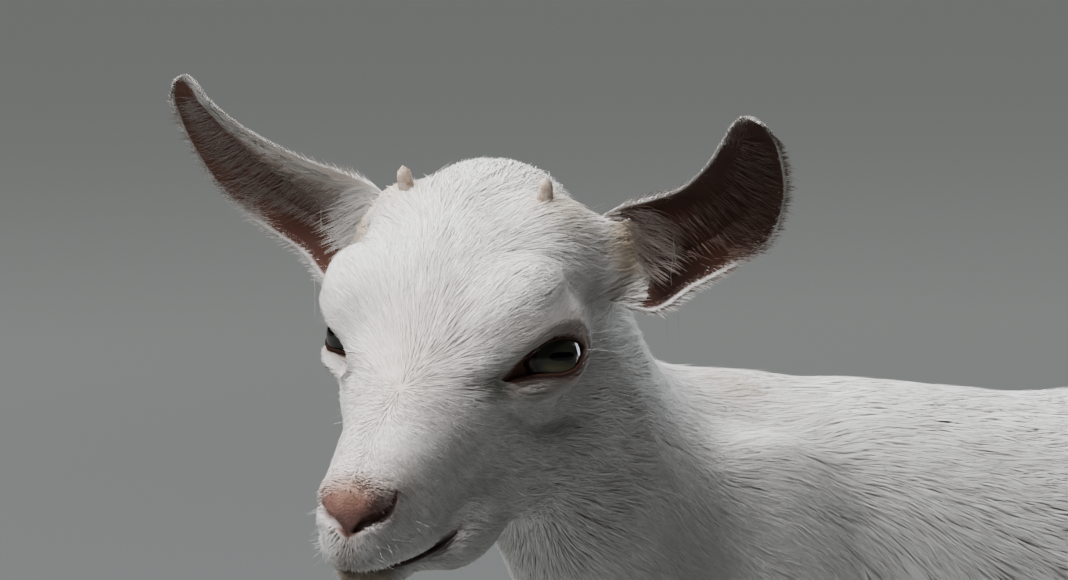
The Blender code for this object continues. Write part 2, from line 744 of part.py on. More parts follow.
def farthest_part(obj, centre):
    """Drops all but the body of an object that lies farthest from a point."""
    bm = bmesh.new()
    bm.from_mesh(obj.data)
    keep = max(islands(bm), key=lambda group: max((v.co - centre).length for v in group))
    bmesh.ops.delete(bm, geom=[v for v in bm.verts if v not in keep], context="VERTS")
    bm.to_mesh(obj.data)
    bm.free()


def main():
    for obj in list(bpy.data.objects):
        bpy.data.objects.remove(obj)
    cutters = bpy.data.collections.new("goat_kid_cutters")
    goat = bpy.data.collections.new("goat_kid")
    bpy.context.scene.collection.children.link(cutters)
    bpy.context.scene.collection.children.link(goat)
    cutters.hide_render = True

    body = flesh()
    around = swollen(body, 0.00035)
    made = []
    for side, s in SIDES.items():
        for solid in (ear_solid(side, s), horn_bud(side, s)):
            cut(solid, around)
            farthest_part(solid, HEAD @ Vector((0, 0, -0.02)))
            made.append(solid)
        made.append(eye_ball(f"{side}_eye", s, EYE_RADIUS))
        for leg in ("front", "hind"):
            for solid in foot_solids(leg, side, s, STEPS[leg, side]):
                if solid.name.endswith("dewclaw"):
                    cut(solid, around)
                    anchor = body_anchors()[f"{leg}_{side}_cannon"]
                    farthest_part(solid, Vector((anchor.x, anchor.y - 0.03, FETLOCK_HEIGHT)))
                made.append(solid)
    plates = parting_plates(STEPS)
    for plate in plates:
        cut(body, plate)
    pieces = part_by_anchor(body, body_anchors())
    for name, piece in list(pieces.items()):
        if name.endswith("inside_claws"):
            bpy.data.objects.remove(piece)
        else:
            made.append(piece)
    head = pieces["head"]
    hidden = [around, *plates, mouth_groove(head)]
    cut(head, hidden[-1])
    for side, s in SIDES.items():
        tools = [eye_ball(f"{side}_socket", s, EYE_RADIUS + 0.0004), eye_opening(side, s), nostril(side, s)]
        for tool in tools:
            cut(head, tool)
        hidden += tools
    largest_part(head)

    corners = [v.co for obj in made for v in obj.data.vertices]
    middle = Vector((
        (min(c.x for c in corners) + max(c.x for c in corners)) / 2,
        (min(c.y for c in corners) + max(c.y for c in corners)) / 2,
        min(c.z for c in corners),
    ))
    materials = {}
    for obj in made:
        obj.data.transform(Matrix.Translation(-middle))
        look = colour_of(obj.name)
        if look not in materials:
            materials[look] = plain_material(f"look_{len(materials)}", *look)
        obj.data.materials.clear()
        obj.data.materials.append(materials[look])
        for collection in list(obj.users_collection):
            collection.objects.unlink(obj)
        goat.objects.link(obj)
    for obj in hidden:
        hide_away(obj, cutters)


main()
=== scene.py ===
"""Dresses the goat kid: one skin over the flesh, a coat of tufts that follows its lie,
eyes with lids and lashes, horn buds and claws, on a plain pale floor.

Metres, +Z up. The kid faces -Y with its left side at +X, and its head is turned to its
left. Places on the head are written in millimetres in the head's own frame: left, back
and up from the point midway between the eyes.
"""

import math

import bmesh
import bpy
import numpy as np
from bpy.props import FloatProperty, FloatVectorProperty, IntProperty, PointerProperty
from mathutils import Matrix, Vector
from mathutils.bvhtree import BVHTree
from mathutils.kdtree import KDTree


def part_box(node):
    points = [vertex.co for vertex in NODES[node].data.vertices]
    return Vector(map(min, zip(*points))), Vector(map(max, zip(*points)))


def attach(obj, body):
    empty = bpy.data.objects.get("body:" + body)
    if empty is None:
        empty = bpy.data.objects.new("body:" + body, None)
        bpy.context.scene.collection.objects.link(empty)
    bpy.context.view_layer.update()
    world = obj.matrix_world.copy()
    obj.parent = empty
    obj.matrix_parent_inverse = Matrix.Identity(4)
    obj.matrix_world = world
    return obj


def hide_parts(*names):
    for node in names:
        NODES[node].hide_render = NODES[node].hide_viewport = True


bl_info = {
    "name": "Goat kid",
    "version": (1, 0, 0),
    "blender": (4, 5, 0),
    "location": "View3D > Sidebar > Goat kid",
    "description": "Skin, coat, eyes, horn buds and claws for the goat kid, and its stage",
    "category": "Object",
}

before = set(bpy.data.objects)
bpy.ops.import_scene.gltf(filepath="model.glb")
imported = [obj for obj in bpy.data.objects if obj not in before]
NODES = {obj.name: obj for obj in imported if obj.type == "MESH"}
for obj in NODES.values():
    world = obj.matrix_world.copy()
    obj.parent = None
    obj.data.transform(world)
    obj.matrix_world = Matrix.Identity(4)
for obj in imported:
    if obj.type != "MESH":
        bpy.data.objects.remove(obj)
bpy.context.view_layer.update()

# --- The head's frame ---
HEAD_AXES = (
    Matrix.Rotation(math.radians(35.0), 3, "Z")
    @ Matrix.Rotation(math.radians(23.6), 3, "X")
    @ Matrix.Rotation(math.radians(3.4), 3, "Y")
)
EYE_PLACE = np.array((32.5, 0.0, -1.5))
EYE_RADIUS = 11.5
MM = 0.001
SIDES = ((1, "left"), (-1, "right"))


def middle_of(*nodes):
    corners = [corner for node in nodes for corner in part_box(node)]
    return sum(corners, Vector()) / len(corners)


HEAD_PLACE = middle_of("left_eye", "right_eye") - HEAD_AXES @ Vector((0, 0, EYE_PLACE[2] * MM))
AXES = np.array(HEAD_AXES)
PLACE = np.array(HEAD_PLACE)
MIDDLE_X = (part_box("trunk")[0].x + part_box("trunk")[1].x) / 2


def to_head(points):
    """World points in metres as points in the head's frame in millimetres."""
    return (np.asarray(points) - PLACE) @ AXES / MM


def from_head(points):
    return np.asarray(points, float) * MM @ AXES.T + PLACE


def turned_from_head(directions):
    return np.asarray(directions, float) @ AXES.T


def unit(vectors):
    return vectors / np.maximum(np.linalg.norm(vectors, axis=-1, keepdims=True), 1e-12)


def smoothstep(low, high, value):
    t = np.clip((value - low) / (high - low), 0, 1)
    return t * t * (3 - 2 * t)


def folded(places):
    """Places on the head, with those on the right brought over to the left."""
    places = np.array(places, float)
    places[:, 0] = np.abs(places[:, 0])
    return places


def both_sides(rows):
    """Rows of places and ways on the left, with their mirror images."""
    rows = np.asarray(rows, float)
    other = rows[np.abs(rows[:, 0]) > 0.5].copy()
    other[:, [0, 3]] *= -1
    return np.vstack((rows, other))


# --- Lines on the head, left side, in millimetres ---
NOSTRIL = [
    (0.4, -88.5, -17.0),
    (2.1, -88.3, -16.0),
    (4.1, -87.8, -14.5),
    (6.9, -86.3, -13.1),
    (10.3, -83.2, -12.6),
    (11.5, -79.9, -10.9),
    (11.9, -77.9, -9.4),
]
MOUTH = [
    (0.0, -88.9, -29.6),
    (2.8, -88.5, -29.9),
    (5.4, -87.0, -30.3),
    (8.4, -81.7, -32.1),
    (11.4, -73.6, -35.2),
    (14.6, -65.6, -36.6),
    (17.1, -61.6, -36.4),
    (19.0, -56.2, -36.1),
    (20.3, -51.4, -35.5),
]
PHILTRUM = [(0.0, -88.7, -17.2), (0.0, -89.3, -21.0), (0.0, -90.0, -25.0), (0.0, -89.3, -29.0)]
LIP_CREASE = [
    (9.3, -84.7, -20.2),
    (12.2, -79.0, -23.6),
    (15.0, -74.0, -24.9),
    (17.0, -67.0, -26.5),
    (17.4, -56.1, -29.4),
]
EYE_BAG = [
    (28.5, -18.8, -11.4),
    (29.8, -14.6, -16.6),
    (31.0, -6.1, -23.9),
    (32.4, 2.9, -28.2),
    (34.2, 11.3, -31.0),
]
WHORL = (0.6, -40.5, 7.6)

# Eyelids in the plane across the gaze: along the opening, towards the ear, and across it, up.
LIDS = [
    (-19.8, 0.7),
    (-14.3, 2.6),
    (-9.0, 4.3),
    (-4.2, 5.9),
    (0.2, 5.7),
    (4.6, 4.2),
    (9.4, 1.2),
    (11.8, -2.2),
    (9.6, -4.4),
    (5.5, -5.5),
    (1.2, -5.8),
    (-2.8, -5.0),
    (-6.5, -3.3),
    (-10.0, -1.9),
    (-14.8, -0.8),
]
LID_REACH = EYE_RADIUS + 0.8
GAZE = unit(np.array((0.77, -0.52, 0.365)))
LID_ALONG = np.array((0.532, 0.844, 0.083))
LID_ALONG = unit(LID_ALONG - GAZE * (LID_ALONG @ GAZE))
LID_ACROSS = np.cross(LID_ALONG, GAZE)
LID_ACROSS = LID_ACROSS * np.sign(LID_ACROSS[2])

# Ears: a point on the upper edge, the one across from it, the cup's depth and the thickness.
EAR_STATIONS = [
    (33, 46, 22, 40, 33, 2, 5.0, 6.0),
    (43, 51, 26, 56, 36, -2, 7.5, 6.0),
    (53, 52, 29, 67, 43, 3.5, 7.5, 5.4),
    (66, 46, 37, 79, 44.5, 10.5, 6.5, 5.0),
    (79, 35.5, 51.5, 93, 46, 20, 5.0, 4.8),
    (87, 29.5, 63, 101, 42.5, 38, 3.6, 4.6),
    (92, 29.5, 70.5, 103, 36.5, 57, 1.8, 4.2),
    (94.8, 28.8, 74.6, 103.0, 34.0, 64.9, 0.4, 3.0),
]


def smooth_rows(rows, count):
    """count rows read from a Catmull-Rom curve through the given rows."""
    rows = np.asarray(rows, float)
    rows = np.vstack((2 * rows[0] - rows[1], rows, 2 * rows[-1] - rows[-2]))
    place = np.linspace(1, len(rows) - 2, count)
    k = np.minimum(place.astype(int), len(rows) - 3)
    t = (place - k)[:, None]
    a, b, c, d = rows[k - 1], rows[k], rows[k + 1], rows[k + 2]
    return 0.5 * (2 * b + (c - a) * t + (2 * a - 5 * b + 4 * c - d) * t**2 + (3 * b - a - 3 * c + d) * t**3)


class Line:
    """A smooth line on the left of the head, to measure from on both sides."""

    def __init__(self, points, count=60):
        self.points = smooth_rows(points, count)

    def distance(self, places):
        """Millimetres to the line, and how far along it, from 0 to 1."""
        places = folded(places)
        best = np.full(len(places), 1e9)
        share = np.zeros(len(places))
        for k, (start, end) in enumerate(zip(self.points[:-1], self.points[1:])):
            run = end - start
            t = np.clip((places - start) @ run / (run @ run), 0, 1)
            away = np.linalg.norm(places - start - t[:, None] * run, axis=1)
            nearer = away < best
            best = np.where(nearer, away, best)
            share = np.where(nearer, (k + t) / (len(self.points) - 1), share)
        return best, share

    def crossed(self, roots, tips, gap):
        """Which hairs from root to tip reach over the line, or closer to it than gap."""
        roots, tips = np.array(roots), np.array(tips)
        tips[:, 0] *= np.sign(roots[:, 0])
        roots[:, 0] = np.abs(roots[:, 0])
        away, share = self.distance(roots)
        over = np.zeros(len(roots), bool)
        near = np.flatnonzero(away < 14)
        spot = self.points[np.rint(share[near] * (len(self.points) - 1)).astype(int)]
        out = roots[near] - spot
        out /= np.linalg.norm(out, axis=1, keepdims=True) + 1e-6
        sideways = np.linalg.norm(tips[near] - spot, axis=1)
        over[near] = (((tips[near] - spot) * out).sum(1) < gap) & (sideways < 14)
        return over | (away < gap)


NOSTRIL_LINE = Line(NOSTRIL)
MOUTH_LINE = Line(MOUTH)
PHILTRUM_LINE = Line(PHILTRUM, 20)
LIP_CREASE_LINE = Line(LIP_CREASE)
EYE_BAG_LINE = Line(EYE_BAG)


def lid_outline(count):
    """The almond of the lids as a closed smooth line in the lid plane."""
    rows = np.array(LIDS)
    rows = np.vstack((rows[-2:], rows, rows[:3]))
    fine = smooth_rows(rows, 14 * len(rows))
    start = np.argmin(np.linalg.norm(fine[:28] - rows[2], axis=1))
    loop = fine[start:]
    end = 14 + np.argmin(np.linalg.norm(loop[14:] - loop[0], axis=1))
    loop = loop[: end + 1]
    steps = np.r_[0, np.cumsum(np.linalg.norm(np.diff(loop, axis=0), axis=1))]
    at = np.linspace(0, steps[-1], count, endpoint=False)
    return np.column_stack([np.interp(at, steps, loop[:, k]) for k in (0, 1)])


LID_LOOP = lid_outline(96)
EYE_CENTRES = {1: EYE_PLACE, -1: EYE_PLACE + (-2.4, 2.2, 0.0)}  # the right eye sits a little deeper


def eye_coordinates(places, side):
    """Places on the head as along, across and out from the centre of one eye."""
    places = np.array(places, float)
    places[:, 0] *= side
    away = places - EYE_CENTRES[side]
    return away @ LID_ALONG, away @ LID_ACROSS, away @ GAZE


def eye_place(along, across, out, side):
    along, across, out = np.broadcast_arrays(along, across, out)
    places = EYE_CENTRES[side] + along[:, None] * LID_ALONG + across[:, None] * LID_ACROSS
    return (places + out[:, None] * GAZE) * (side, 1, 1)


def inside_lids(along, across):
    """Distance inside the almond, negative outside it."""
    here = np.column_stack((along, across))
    best = np.full(len(here), 1e9)
    crossings = np.zeros(len(here), int)
    for (ax, ay), (bx, by) in zip(LID_LOOP, np.roll(LID_LOOP, -1, axis=0)):
        run = np.array((bx - ax, by - ay))
        offset = here - (ax, ay)
        t = np.clip(offset @ run / (run @ run), 0, 1)
        best = np.minimum(best, np.linalg.norm(offset - t[:, None] * run, axis=1))
        between = (ay > across) != (by > across)
        with np.errstate(divide="ignore", invalid="ignore"):
            reach = ax + (across - ay) * (bx - ax) / (by - ay)
        crossings += between & (along < reach)
    return np.where(crossings % 2 == 1, best, -best)


def lid_surface(along, across):
    """How far out the lids stand: on a ball round the eye, and level ahead of it."""
    ball = np.sqrt(np.maximum(LID_REACH**2 - along**2 - across**2, 1.0))
    ahead = 6.6 + 0.06 * (along + 10)
    return np.where(along < -8, np.where(along < -11, ahead, np.maximum(ball, ahead)), np.maximum(ball, 3.0))


class EarLeaf:
    """The cupped leaf of an ear, read at a share of its length and an angle round its section.

    The angle runs from the upper edge over the inside to the lower edge, and back
    behind it.
    """

    ROWS = 200
    # Ridges inside it: height, place across, width, and where along the leaf they rise and fade.
    RIDGES = ((0.9, 0.30, 0.13, (0.05, 0.2), (0.9, 0.4)), (0.6, -0.25, 0.12, (0.1, 0.3), (0.8, 0.4)))

    def __init__(self, side):
        self.flip = np.array((side, 1, 1))
        stations = smooth_rows(EAR_STATIONS, self.ROWS)
        upper, lower = stations[:, :3], stations[:, 3:6]
        to_tip = np.clip((np.linspace(0, 1, self.ROWS) - 0.76) / 0.24, 0, 1)
        self.middle = (upper + lower) / 2
        self.half = (upper - lower) / 2 * np.sqrt(np.clip(1 - to_tip**2.4, 0.0004, 1))[:, None]
        self.along = unit(np.gradient(self.middle, axis=0))
        self.opening = unit(np.cross(np.gradient(self.middle, axis=0), self.half))
        self.cup = stations[:, 6]

    def read(self, rows, share):
        at = np.clip(share, 0, 1) * (self.ROWS - 1)
        k = np.minimum(at.astype(int), self.ROWS - 2)
        t = at - k
        return rows[k] + (rows[k + 1] - rows[k]) * (t[:, None] if rows.ndim == 2 else t)

    def place(self, share, angle):
        """Places on the leaf's surface."""
        across, depth = np.cos(angle), np.sin(angle)
        thick = (3.2 - 1.6 * share) * (1 - 0.35 * across**6)
        ridge = 0
        for high, middle, wide, start, end in self.RIDGES:
            bulge = high * np.exp(-(((across - middle) / wide) ** 2))
            ridge = ridge + bulge * smoothstep(*start, share) * smoothstep(*end, share)
        rise = thick / 2 * depth + ridge * np.clip(depth, 0, 1) - self.read(self.cup, share) * depth**2
        places = (
            self.read(self.middle, share)
            + self.read(self.half, share) * across[:, None]
            + self.read(self.opening, share) * rise[:, None]
        )
        return places * self.flip

    def ways(self, share):
        """Along the leaf, from its lower edge to its upper edge, and out of its opening."""
        return (
            self.read(self.along, share) * self.flip,
            unit(self.read(self.half, share)) * self.flip,
            self.read(self.opening, share) * self.flip,
        )


EAR_LEAVES = {1: EarLeaf(1), -1: EarLeaf(-1)}


# --- Markings, the same on skin and coat ---
def blob(places, centre, radii, soft=0.35):
    """1 inside an ellipsoid, fading to 0 just outside it, on both sides of the head."""
    away = np.linalg.norm((folded(places) - centre) / radii, axis=1)
    return 1 - smoothstep(1 - soft, 1 + soft, away)


def markings(places):
    """Pink skin, reddish rims, tan stains, and painted shade in the nostrils, mouth and creases round the
    eyes, at places on the head.
    """
    nostril, nostril_share = NOSTRIL_LINE.distance(places)
    mouth, mouth_share = MOUTH_LINE.distance(places)
    philtrum, _ = PHILTRUM_LINE.distance(places)
    pad = blob(places, (0, -86.0, -10.8), (13.0, 12.0, 9.0), 0.42)
    near = NOSTRIL_LINE.points[np.rint(nostril_share * (len(NOSTRIL_LINE.points) - 1)).astype(int)]
    outer = ((folded(places) - near) * (0.78, 0.20, -0.60)).sum(1)
    ring = np.where(outer > 0, 1 - smoothstep(0.9, 1.7, nostril), 1 - smoothstep(2.0, 4.6, nostril))
    pad = np.maximum(pad * np.where(nostril < 7, smoothstep(1.4, 0.2, outer), 1), ring)
    pad = np.maximum(pad, 0.8 * (1 - smoothstep(0.3, 1.0, philtrum)))
    pink = np.maximum(pad, 0.45 * (1 - smoothstep(0.9, 2.8, mouth)) * smoothstep(1.0, 0.8, mouth_share))
    pink = np.maximum(pink, 0.30 * (1 - smoothstep(1.0, 4.0, philtrum)))
    lid_out = np.full(len(places), -99.0)
    for side in (1, -1):
        along, high, out = eye_coordinates(places, side)
        near = (np.abs(along) < 40) & (np.abs(high) < 30) & (out > -4)
        reach = np.full(len(places), -99.0)
        reach[near] = inside_lids(along[near], high[near])
        lid_out = np.maximum(lid_out, reach)
    rim = smoothstep(-2.4, -0.4, lid_out)
    round_eye = smoothstep(-9.0, -1.0, lid_out)
    # tear_spot_and_shade: a dark spot at each eye's inner corner, partly tear stain and partly painted shade
    # of its hollow; the rest is painted shade along the eye bag's crease, under the lower lid and under the
    # lower lip.
    tear_spot_and_shade = blob(places, (21.6, -27.6, 2.2), (3.4, 4.6, 3.3), 0.7)
    bag, _ = EYE_BAG_LINE.distance(places)
    tear_spot_and_shade = np.maximum(tear_spot_and_shade, 0.26 * np.exp(-((bag / 3.6) ** 2)))
    tear_spot_and_shade = np.maximum(tear_spot_and_shade, 0.42 * blob(places, (34, -13, -5.8), (8, 8, 3.8), 0.8))
    tear_spot_and_shade = np.maximum(tear_spot_and_shade, 0.45 * blob(places, (0, -86, -36), (12, 9, 5), 0.5))
    # Painted shade: near-black inside the nostrils, in the slit of the mouth and down the philtrum's groove.
    wide = 0.5 + 1.4 * np.exp(-(((nostril_share - 0.52) / 0.27) ** 2))
    dark = (1 - smoothstep(0.55 * wide, 1.2 * wide, nostril)) * smoothstep(0.0, 0.22, nostril_share)
    dark = np.maximum(dark, 0.95 * (1 - smoothstep(1.1, 2.3, mouth)) * smoothstep(1.01, 0.93, mouth_share))
    dark = np.maximum(dark, 0.35 * (1 - smoothstep(0.1, 0.6, philtrum)))
    stain = 0.65 * blob(places, (41, 40, 17), (6.5, 10, 12), 0.7)
    stain = np.maximum(stain, 0.14 * blob(places, (0, -36, 9), (6, 12, 10), 0.7))
    stain = np.maximum(stain, 0.35 * blob(places, (23, 31, 33), (9, 10, 8), 0.6))
    stain = np.maximum(stain, 0.60 * blob(places, (0, -86, -34), (9, 8, 6), 0.6))
    stain = np.maximum(stain, 0.30 * blob(places, (1, -86, -3), (8, 8, 5), 0.8))
    stain = np.maximum(stain, 0.35 * (places[:, 0] > 0) * blob(places, (38, 118, -81), (8, 9, 13), 0.8))
    # blush_and_shade: pinkish tint on the nose, down the bridge and round the eyes; the blob over the inner
    # brow is painted shade under the brow ridge.
    blush_and_shade = 0.48 * blob(places, (0, -76, -4), (15, 15, 12), 0.7)
    blush_and_shade = np.maximum(blush_and_shade, 0.36 * blob(places, (4, -38, 10), (12, 22, 12), 0.9))
    blush_and_shade = np.maximum(blush_and_shade, 0.42 * blob(places, (29, -12, 10), (8, 13, 7), 0.9))
    blush_and_shade = np.maximum(blush_and_shade, 0.55 * round_eye)
    return {"pink": pink, "pad": pad, "rim": rim, "dark": dark, "stain": stain, "blush_and_shade": blush_and_shade, "tear_spot_and_shade": tear_spot_and_shade}


# --- Mesh helpers ---


def mesh_of(bm, name):
    """A finished bmesh as a mesh."""
    mesh = bpy.data.meshes.new(name)
    bm.to_mesh(mesh)
    bm.free()
    return mesh


def coordinates(mesh):
    places = np.empty(len(mesh.vertices) * 3)
    mesh.vertices.foreach_get("co", places)
    return places.reshape(-1, 3)


def vertex_normals(mesh):
    normals = np.empty(len(mesh.vertices) * 3)
    mesh.vertices.foreach_get("normal", normals)
    return normals.reshape(-1, 3)


def edge_ends(mesh):
    ends = np.empty(len(mesh.edges) * 2, np.int32)
    mesh.edges.foreach_get("vertices", ends)
    return ends.reshape(-1, 2)


def relaxed(values, ends, count, strength=0.5, weight=None):
    """Values at vertices, each drawn count times towards its neighbours' mean."""
    size = len(values)
    near = np.bincount(ends.ravel(), minlength=size)[:, None]
    amount = strength if weight is None else strength * weight[:, None]
    for _ in range(count):
        total = np.empty_like(values)
        for k in range(values.shape[1]):
            total[:, k] = np.bincount(ends[:, 0], values[ends[:, 1], k], size)
            total[:, k] += np.bincount(ends[:, 1], values[ends[:, 0], k], size)
        values = values + amount * (total / np.maximum(near, 1) - values)
    return values


def set_places(mesh, places):
    mesh.vertices.foreach_set("co", np.ascontiguousarray(places, np.float32).ravel())
    mesh.update()


def put(mesh, name, values):
    layer = mesh.attributes.get(name) or mesh.attributes.new(name, "FLOAT", "POINT")
    layer.data.foreach_set("value", np.ascontiguousarray(values, np.float32))


def shown(name, mesh, material):
    """A finished piece with its place in its mesh."""
    piece = bpy.data.objects.new(name, mesh)
    bpy.context.scene.collection.objects.link(piece)
    if material is not None:
        mesh.materials.clear()
        mesh.materials.append(material)
    if not mesh.has_custom_normals:
        mesh.shade_smooth()
    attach(piece, "root")
    return piece


def evaluated(piece):
    """A piece's mesh with its modifiers applied."""
    graph = bpy.context.evaluated_depsgraph_get()
    return bpy.data.meshes.new_from_object(piece.evaluated_get(graph))


def remeshed(source, voxel):
    """A voxel remesh of a mesh as a new mesh."""
    piece = bpy.data.objects.new("remesh", source)
    bpy.context.scene.collection.objects.link(piece)
    remesh = piece.modifiers.new("remesh", "REMESH")
    remesh.mode = "VOXEL"
    remesh.voxel_size = voxel
    mesh = evaluated(piece)
    bpy.data.objects.remove(piece)
    return mesh


def triangles(mesh):
    mesh.calc_loop_triangles()
    corners = np.empty(len(mesh.loop_triangles) * 3, np.int32)
    mesh.loop_triangles.foreach_get("vertices", corners)
    return corners.reshape(-1, 3)


# --- Materials ---
class Signal:
    """A shader socket that takes part in sums."""

    def __init__(self, paint, socket):
        self.paint = paint
        self.socket = socket

    def __add__(self, other):
        return self.paint.maths("ADD", self, other)

    def __sub__(self, other):
        return self.paint.maths("SUBTRACT", self, other)

    def __rsub__(self, other):
        return self.paint.maths("SUBTRACT", other, self)

    def __mul__(self, other):
        return self.paint.maths("MULTIPLY", self, other)

    def __truediv__(self, other):
        return self.paint.maths("DIVIDE", self, other)

    def __pow__(self, other):
        return self.paint.maths("POWER", self, other)

    __radd__ = __add__
    __rmul__ = __mul__


class Paint:
    """One material and its nodes."""

    def __init__(self, name, **constants):
        self.material = bpy.data.materials.new(name)
        self.material.use_nodes = True
        self.tree = self.material.node_tree
        self.shader = self.tree.nodes["Principled BSDF"]
        for socket, value in constants.items():
            self.shader.inputs[socket.replace("_", " ")].default_value = value

    def node(self, kind, settings=(), **inputs):
        """A node of this type, its settings first and then its sockets' values or links."""
        node = self.tree.nodes.new("ShaderNode" + kind)
        for name, value in dict(settings).items():
            setattr(node, name, value)
        for name, value in inputs.items():
            socket = node.inputs[int(name[1:]) if name[0] == "_" else name.replace("_", " ")]
            self.join(socket, value)
        return node

    def join(self, socket, value):
        if isinstance(value, Signal):
            self.tree.links.new(value.socket, socket)
        else:
            socket.default_value = value

    def out(self, node, name=0):
        return Signal(self, node.outputs[name])

    def maths(self, operation, a, b=0.0, clamp=False):
        return self.out(self.node("Math", {"operation": operation, "use_clamp": clamp}, _0=a, _1=b))

    def clamped(self, value):
        return self.maths("ADD", value, 0.0, clamp=True)

    def attribute(self, name):
        return self.out(self.node("Attribute", {"attribute_name": name}), "Fac")

    def place(self, scale=(1, 1, 1), location=(0, 0, 0), rotation=(0, 0, 0)):
        here = self.out(self.node("TexCoord"), "Object")
        return self.out(self.node("Mapping", _0=here, Location=location, Rotation=rotation, Scale=scale))

    def noise(self, vector, scale, detail=3.0, roughness=0.5):
        return self.out(self.node("TexNoise", _0=vector, Scale=scale, Detail=detail, Roughness=roughness))

    def ramp(self, value, low, high):
        """0 below low, 1 above high and smooth between them."""
        node = self.node(
            "MapRange", {"interpolation_type": "SMOOTHSTEP"}, Value=value, From_Min=low, From_Max=high
        )
        return self.out(node)

    def mix(self, factor, a, b):
        node = self.node("Mix", {"data_type": "RGBA"}, _0=factor)
        for socket, value in ((node.inputs[6], a), (node.inputs[7], b)):
            self.join(socket, value if isinstance(value, Signal) else (*value, 1.0))
        return self.out(node, 2)

    def bump(self, height, distance, strength=1.0):
        node = self.node("Bump", Height=height, Distance=distance, Strength=strength)
        self.tree.links.new(node.outputs[0], self.shader.inputs["Normal"])

    def finish(self, **links):
        for name, value in links.items():
            self.join(self.shader.inputs[name.replace("_", " ")], value)
        return self.material


# --- Settings ---
class CoatSettings(bpy.types.PropertyGroup):
    """Colour and fullness of the coat."""

    white: FloatVectorProperty(
        name="Coat", description="Colour of the clean coat",
        default=(0.86, 0.85, 0.83), subtype="COLOR", min=0, max=1,
    )
    stain: FloatVectorProperty(
        name="Stain", description="Colour of the tan stains",
        default=(0.62, 0.44, 0.25), subtype="COLOR", min=0, max=1,
    )
    fullness: FloatProperty(
        name="Fullness", description="Share of the tufts that grow", default=1.0, min=0.05, max=1.5
    )
    seed: IntProperty(name="Seed", description="Start of the random numbers of the tufts", default=11)


class FleshSettings(bpy.types.PropertyGroup):
    """Colours of bare skin."""

    pink: FloatVectorProperty(
        name="Nose", description="Colour of the nose and lips",
        default=(0.24, 0.137, 0.119), subtype="COLOR", min=0, max=1,
    )
    pale: FloatVectorProperty(
        name="Skin", description="Colour of the skin under the coat",
        default=(0.78, 0.70, 0.66), subtype="COLOR", min=0, max=1,
    )
    ear: FloatVectorProperty(
        name="Ear", description="Colour inside the ears",
        default=(0.15, 0.070, 0.052), subtype="COLOR", min=0, max=1,
    )
    rim: FloatVectorProperty(
        name="Lid rims", description="Colour of the rims of the lids",
        default=(0.15, 0.075, 0.058), subtype="COLOR", min=0, max=1,
    )


class StageSettings(bpy.types.PropertyGroup):
    """Floor and light."""

    floor: FloatVectorProperty(
        name="Floor", description="Colour of the floor",
        default=(0.17, 0.175, 0.17), subtype="COLOR", min=0, max=1,
    )
    key: FloatProperty(
        name="Key light", description="Power of the large soft light", default=165.0, min=0, unit="POWER"
    )
    world: FloatProperty(
        name="Ambient", description="Strength of the light from all round", default=0.022, min=0
    )


# --- Stage ---
CAMERA_AZIMUTH = math.radians(56.96)
CAMERA_ELEVATION = math.radians(5.0)
CAMERA_LENS = 145.6
CAMERA_OFFSET = (0.02726, 0.01677, 1.3688)  # from the head: right, up and back in the camera's frame
CAMERA_SENSOR = 36.0
CAMERA_REACH = 200.0
FLOOR_RADIUS = 45.0
FLOOR_FADE = (0.8, 7.0)  # metres from the kid over which the floor is painted paler: painted light that offsets the lamps' fall-off
FLOOR_GLOW = (0.9, 4.5)  # and over which it starts to glow faintly in its own colour
HEAD_AIM = HEAD_PLACE + Vector((0, 0.10, -0.08))
BODY_AIM = Vector((0.0, 0.10, 0.30))
# Soft lamps: what each is aimed at, the way to it from there (right, up and back in the camera's
# frame), how far off it is, its width, its share of the key light's power and its colour.
LAMPS = [
    ("key", HEAD_AIM, (-0.45, 0.86, 0.31), 2.6, 3.0, 1.06, (0.97, 0.98, 1.0)),
    ("fill", HEAD_AIM, (0.85, 0.35, 0.55), 3.0, 2.2, 0.008, (0.93, 0.96, 1.0)),
    ("back", BODY_AIM, (0.18, 0.80, -0.57), 2.4, 1.8, 0.16, (0.93, 0.96, 1.0)),
]
CATCH_SPOT = (8.4, 1.2, 7.6)  # where the left eye mirrors the catch lamp: along, across and out
CATCH_AWAY, CATCH_WIDTH, CATCH_SHARE = 2.2, 0.9, 0.026
CATCH_COLOUR = (0.74, 0.86, 1.0)


def camera_turn():
    return Matrix.Rotation(CAMERA_AZIMUTH, 3, "Z") @ Matrix.Rotation(math.pi / 2 - CAMERA_ELEVATION, 3, "X")


def area_light(name, place, target, size, power, colour):
    lamp = bpy.data.lights.new(name, "AREA")
    lamp.shape = "DISK"
    lamp.size = size
    lamp.energy = power
    lamp.color = colour
    piece = bpy.data.objects.new(name, lamp)
    piece.location = place
    piece.rotation_euler = (Vector(target) - Vector(place)).to_track_quat("-Z", "Y").to_euler()
    piece.visible_glossy = False
    bpy.context.scene.collection.objects.link(piece)
    return piece


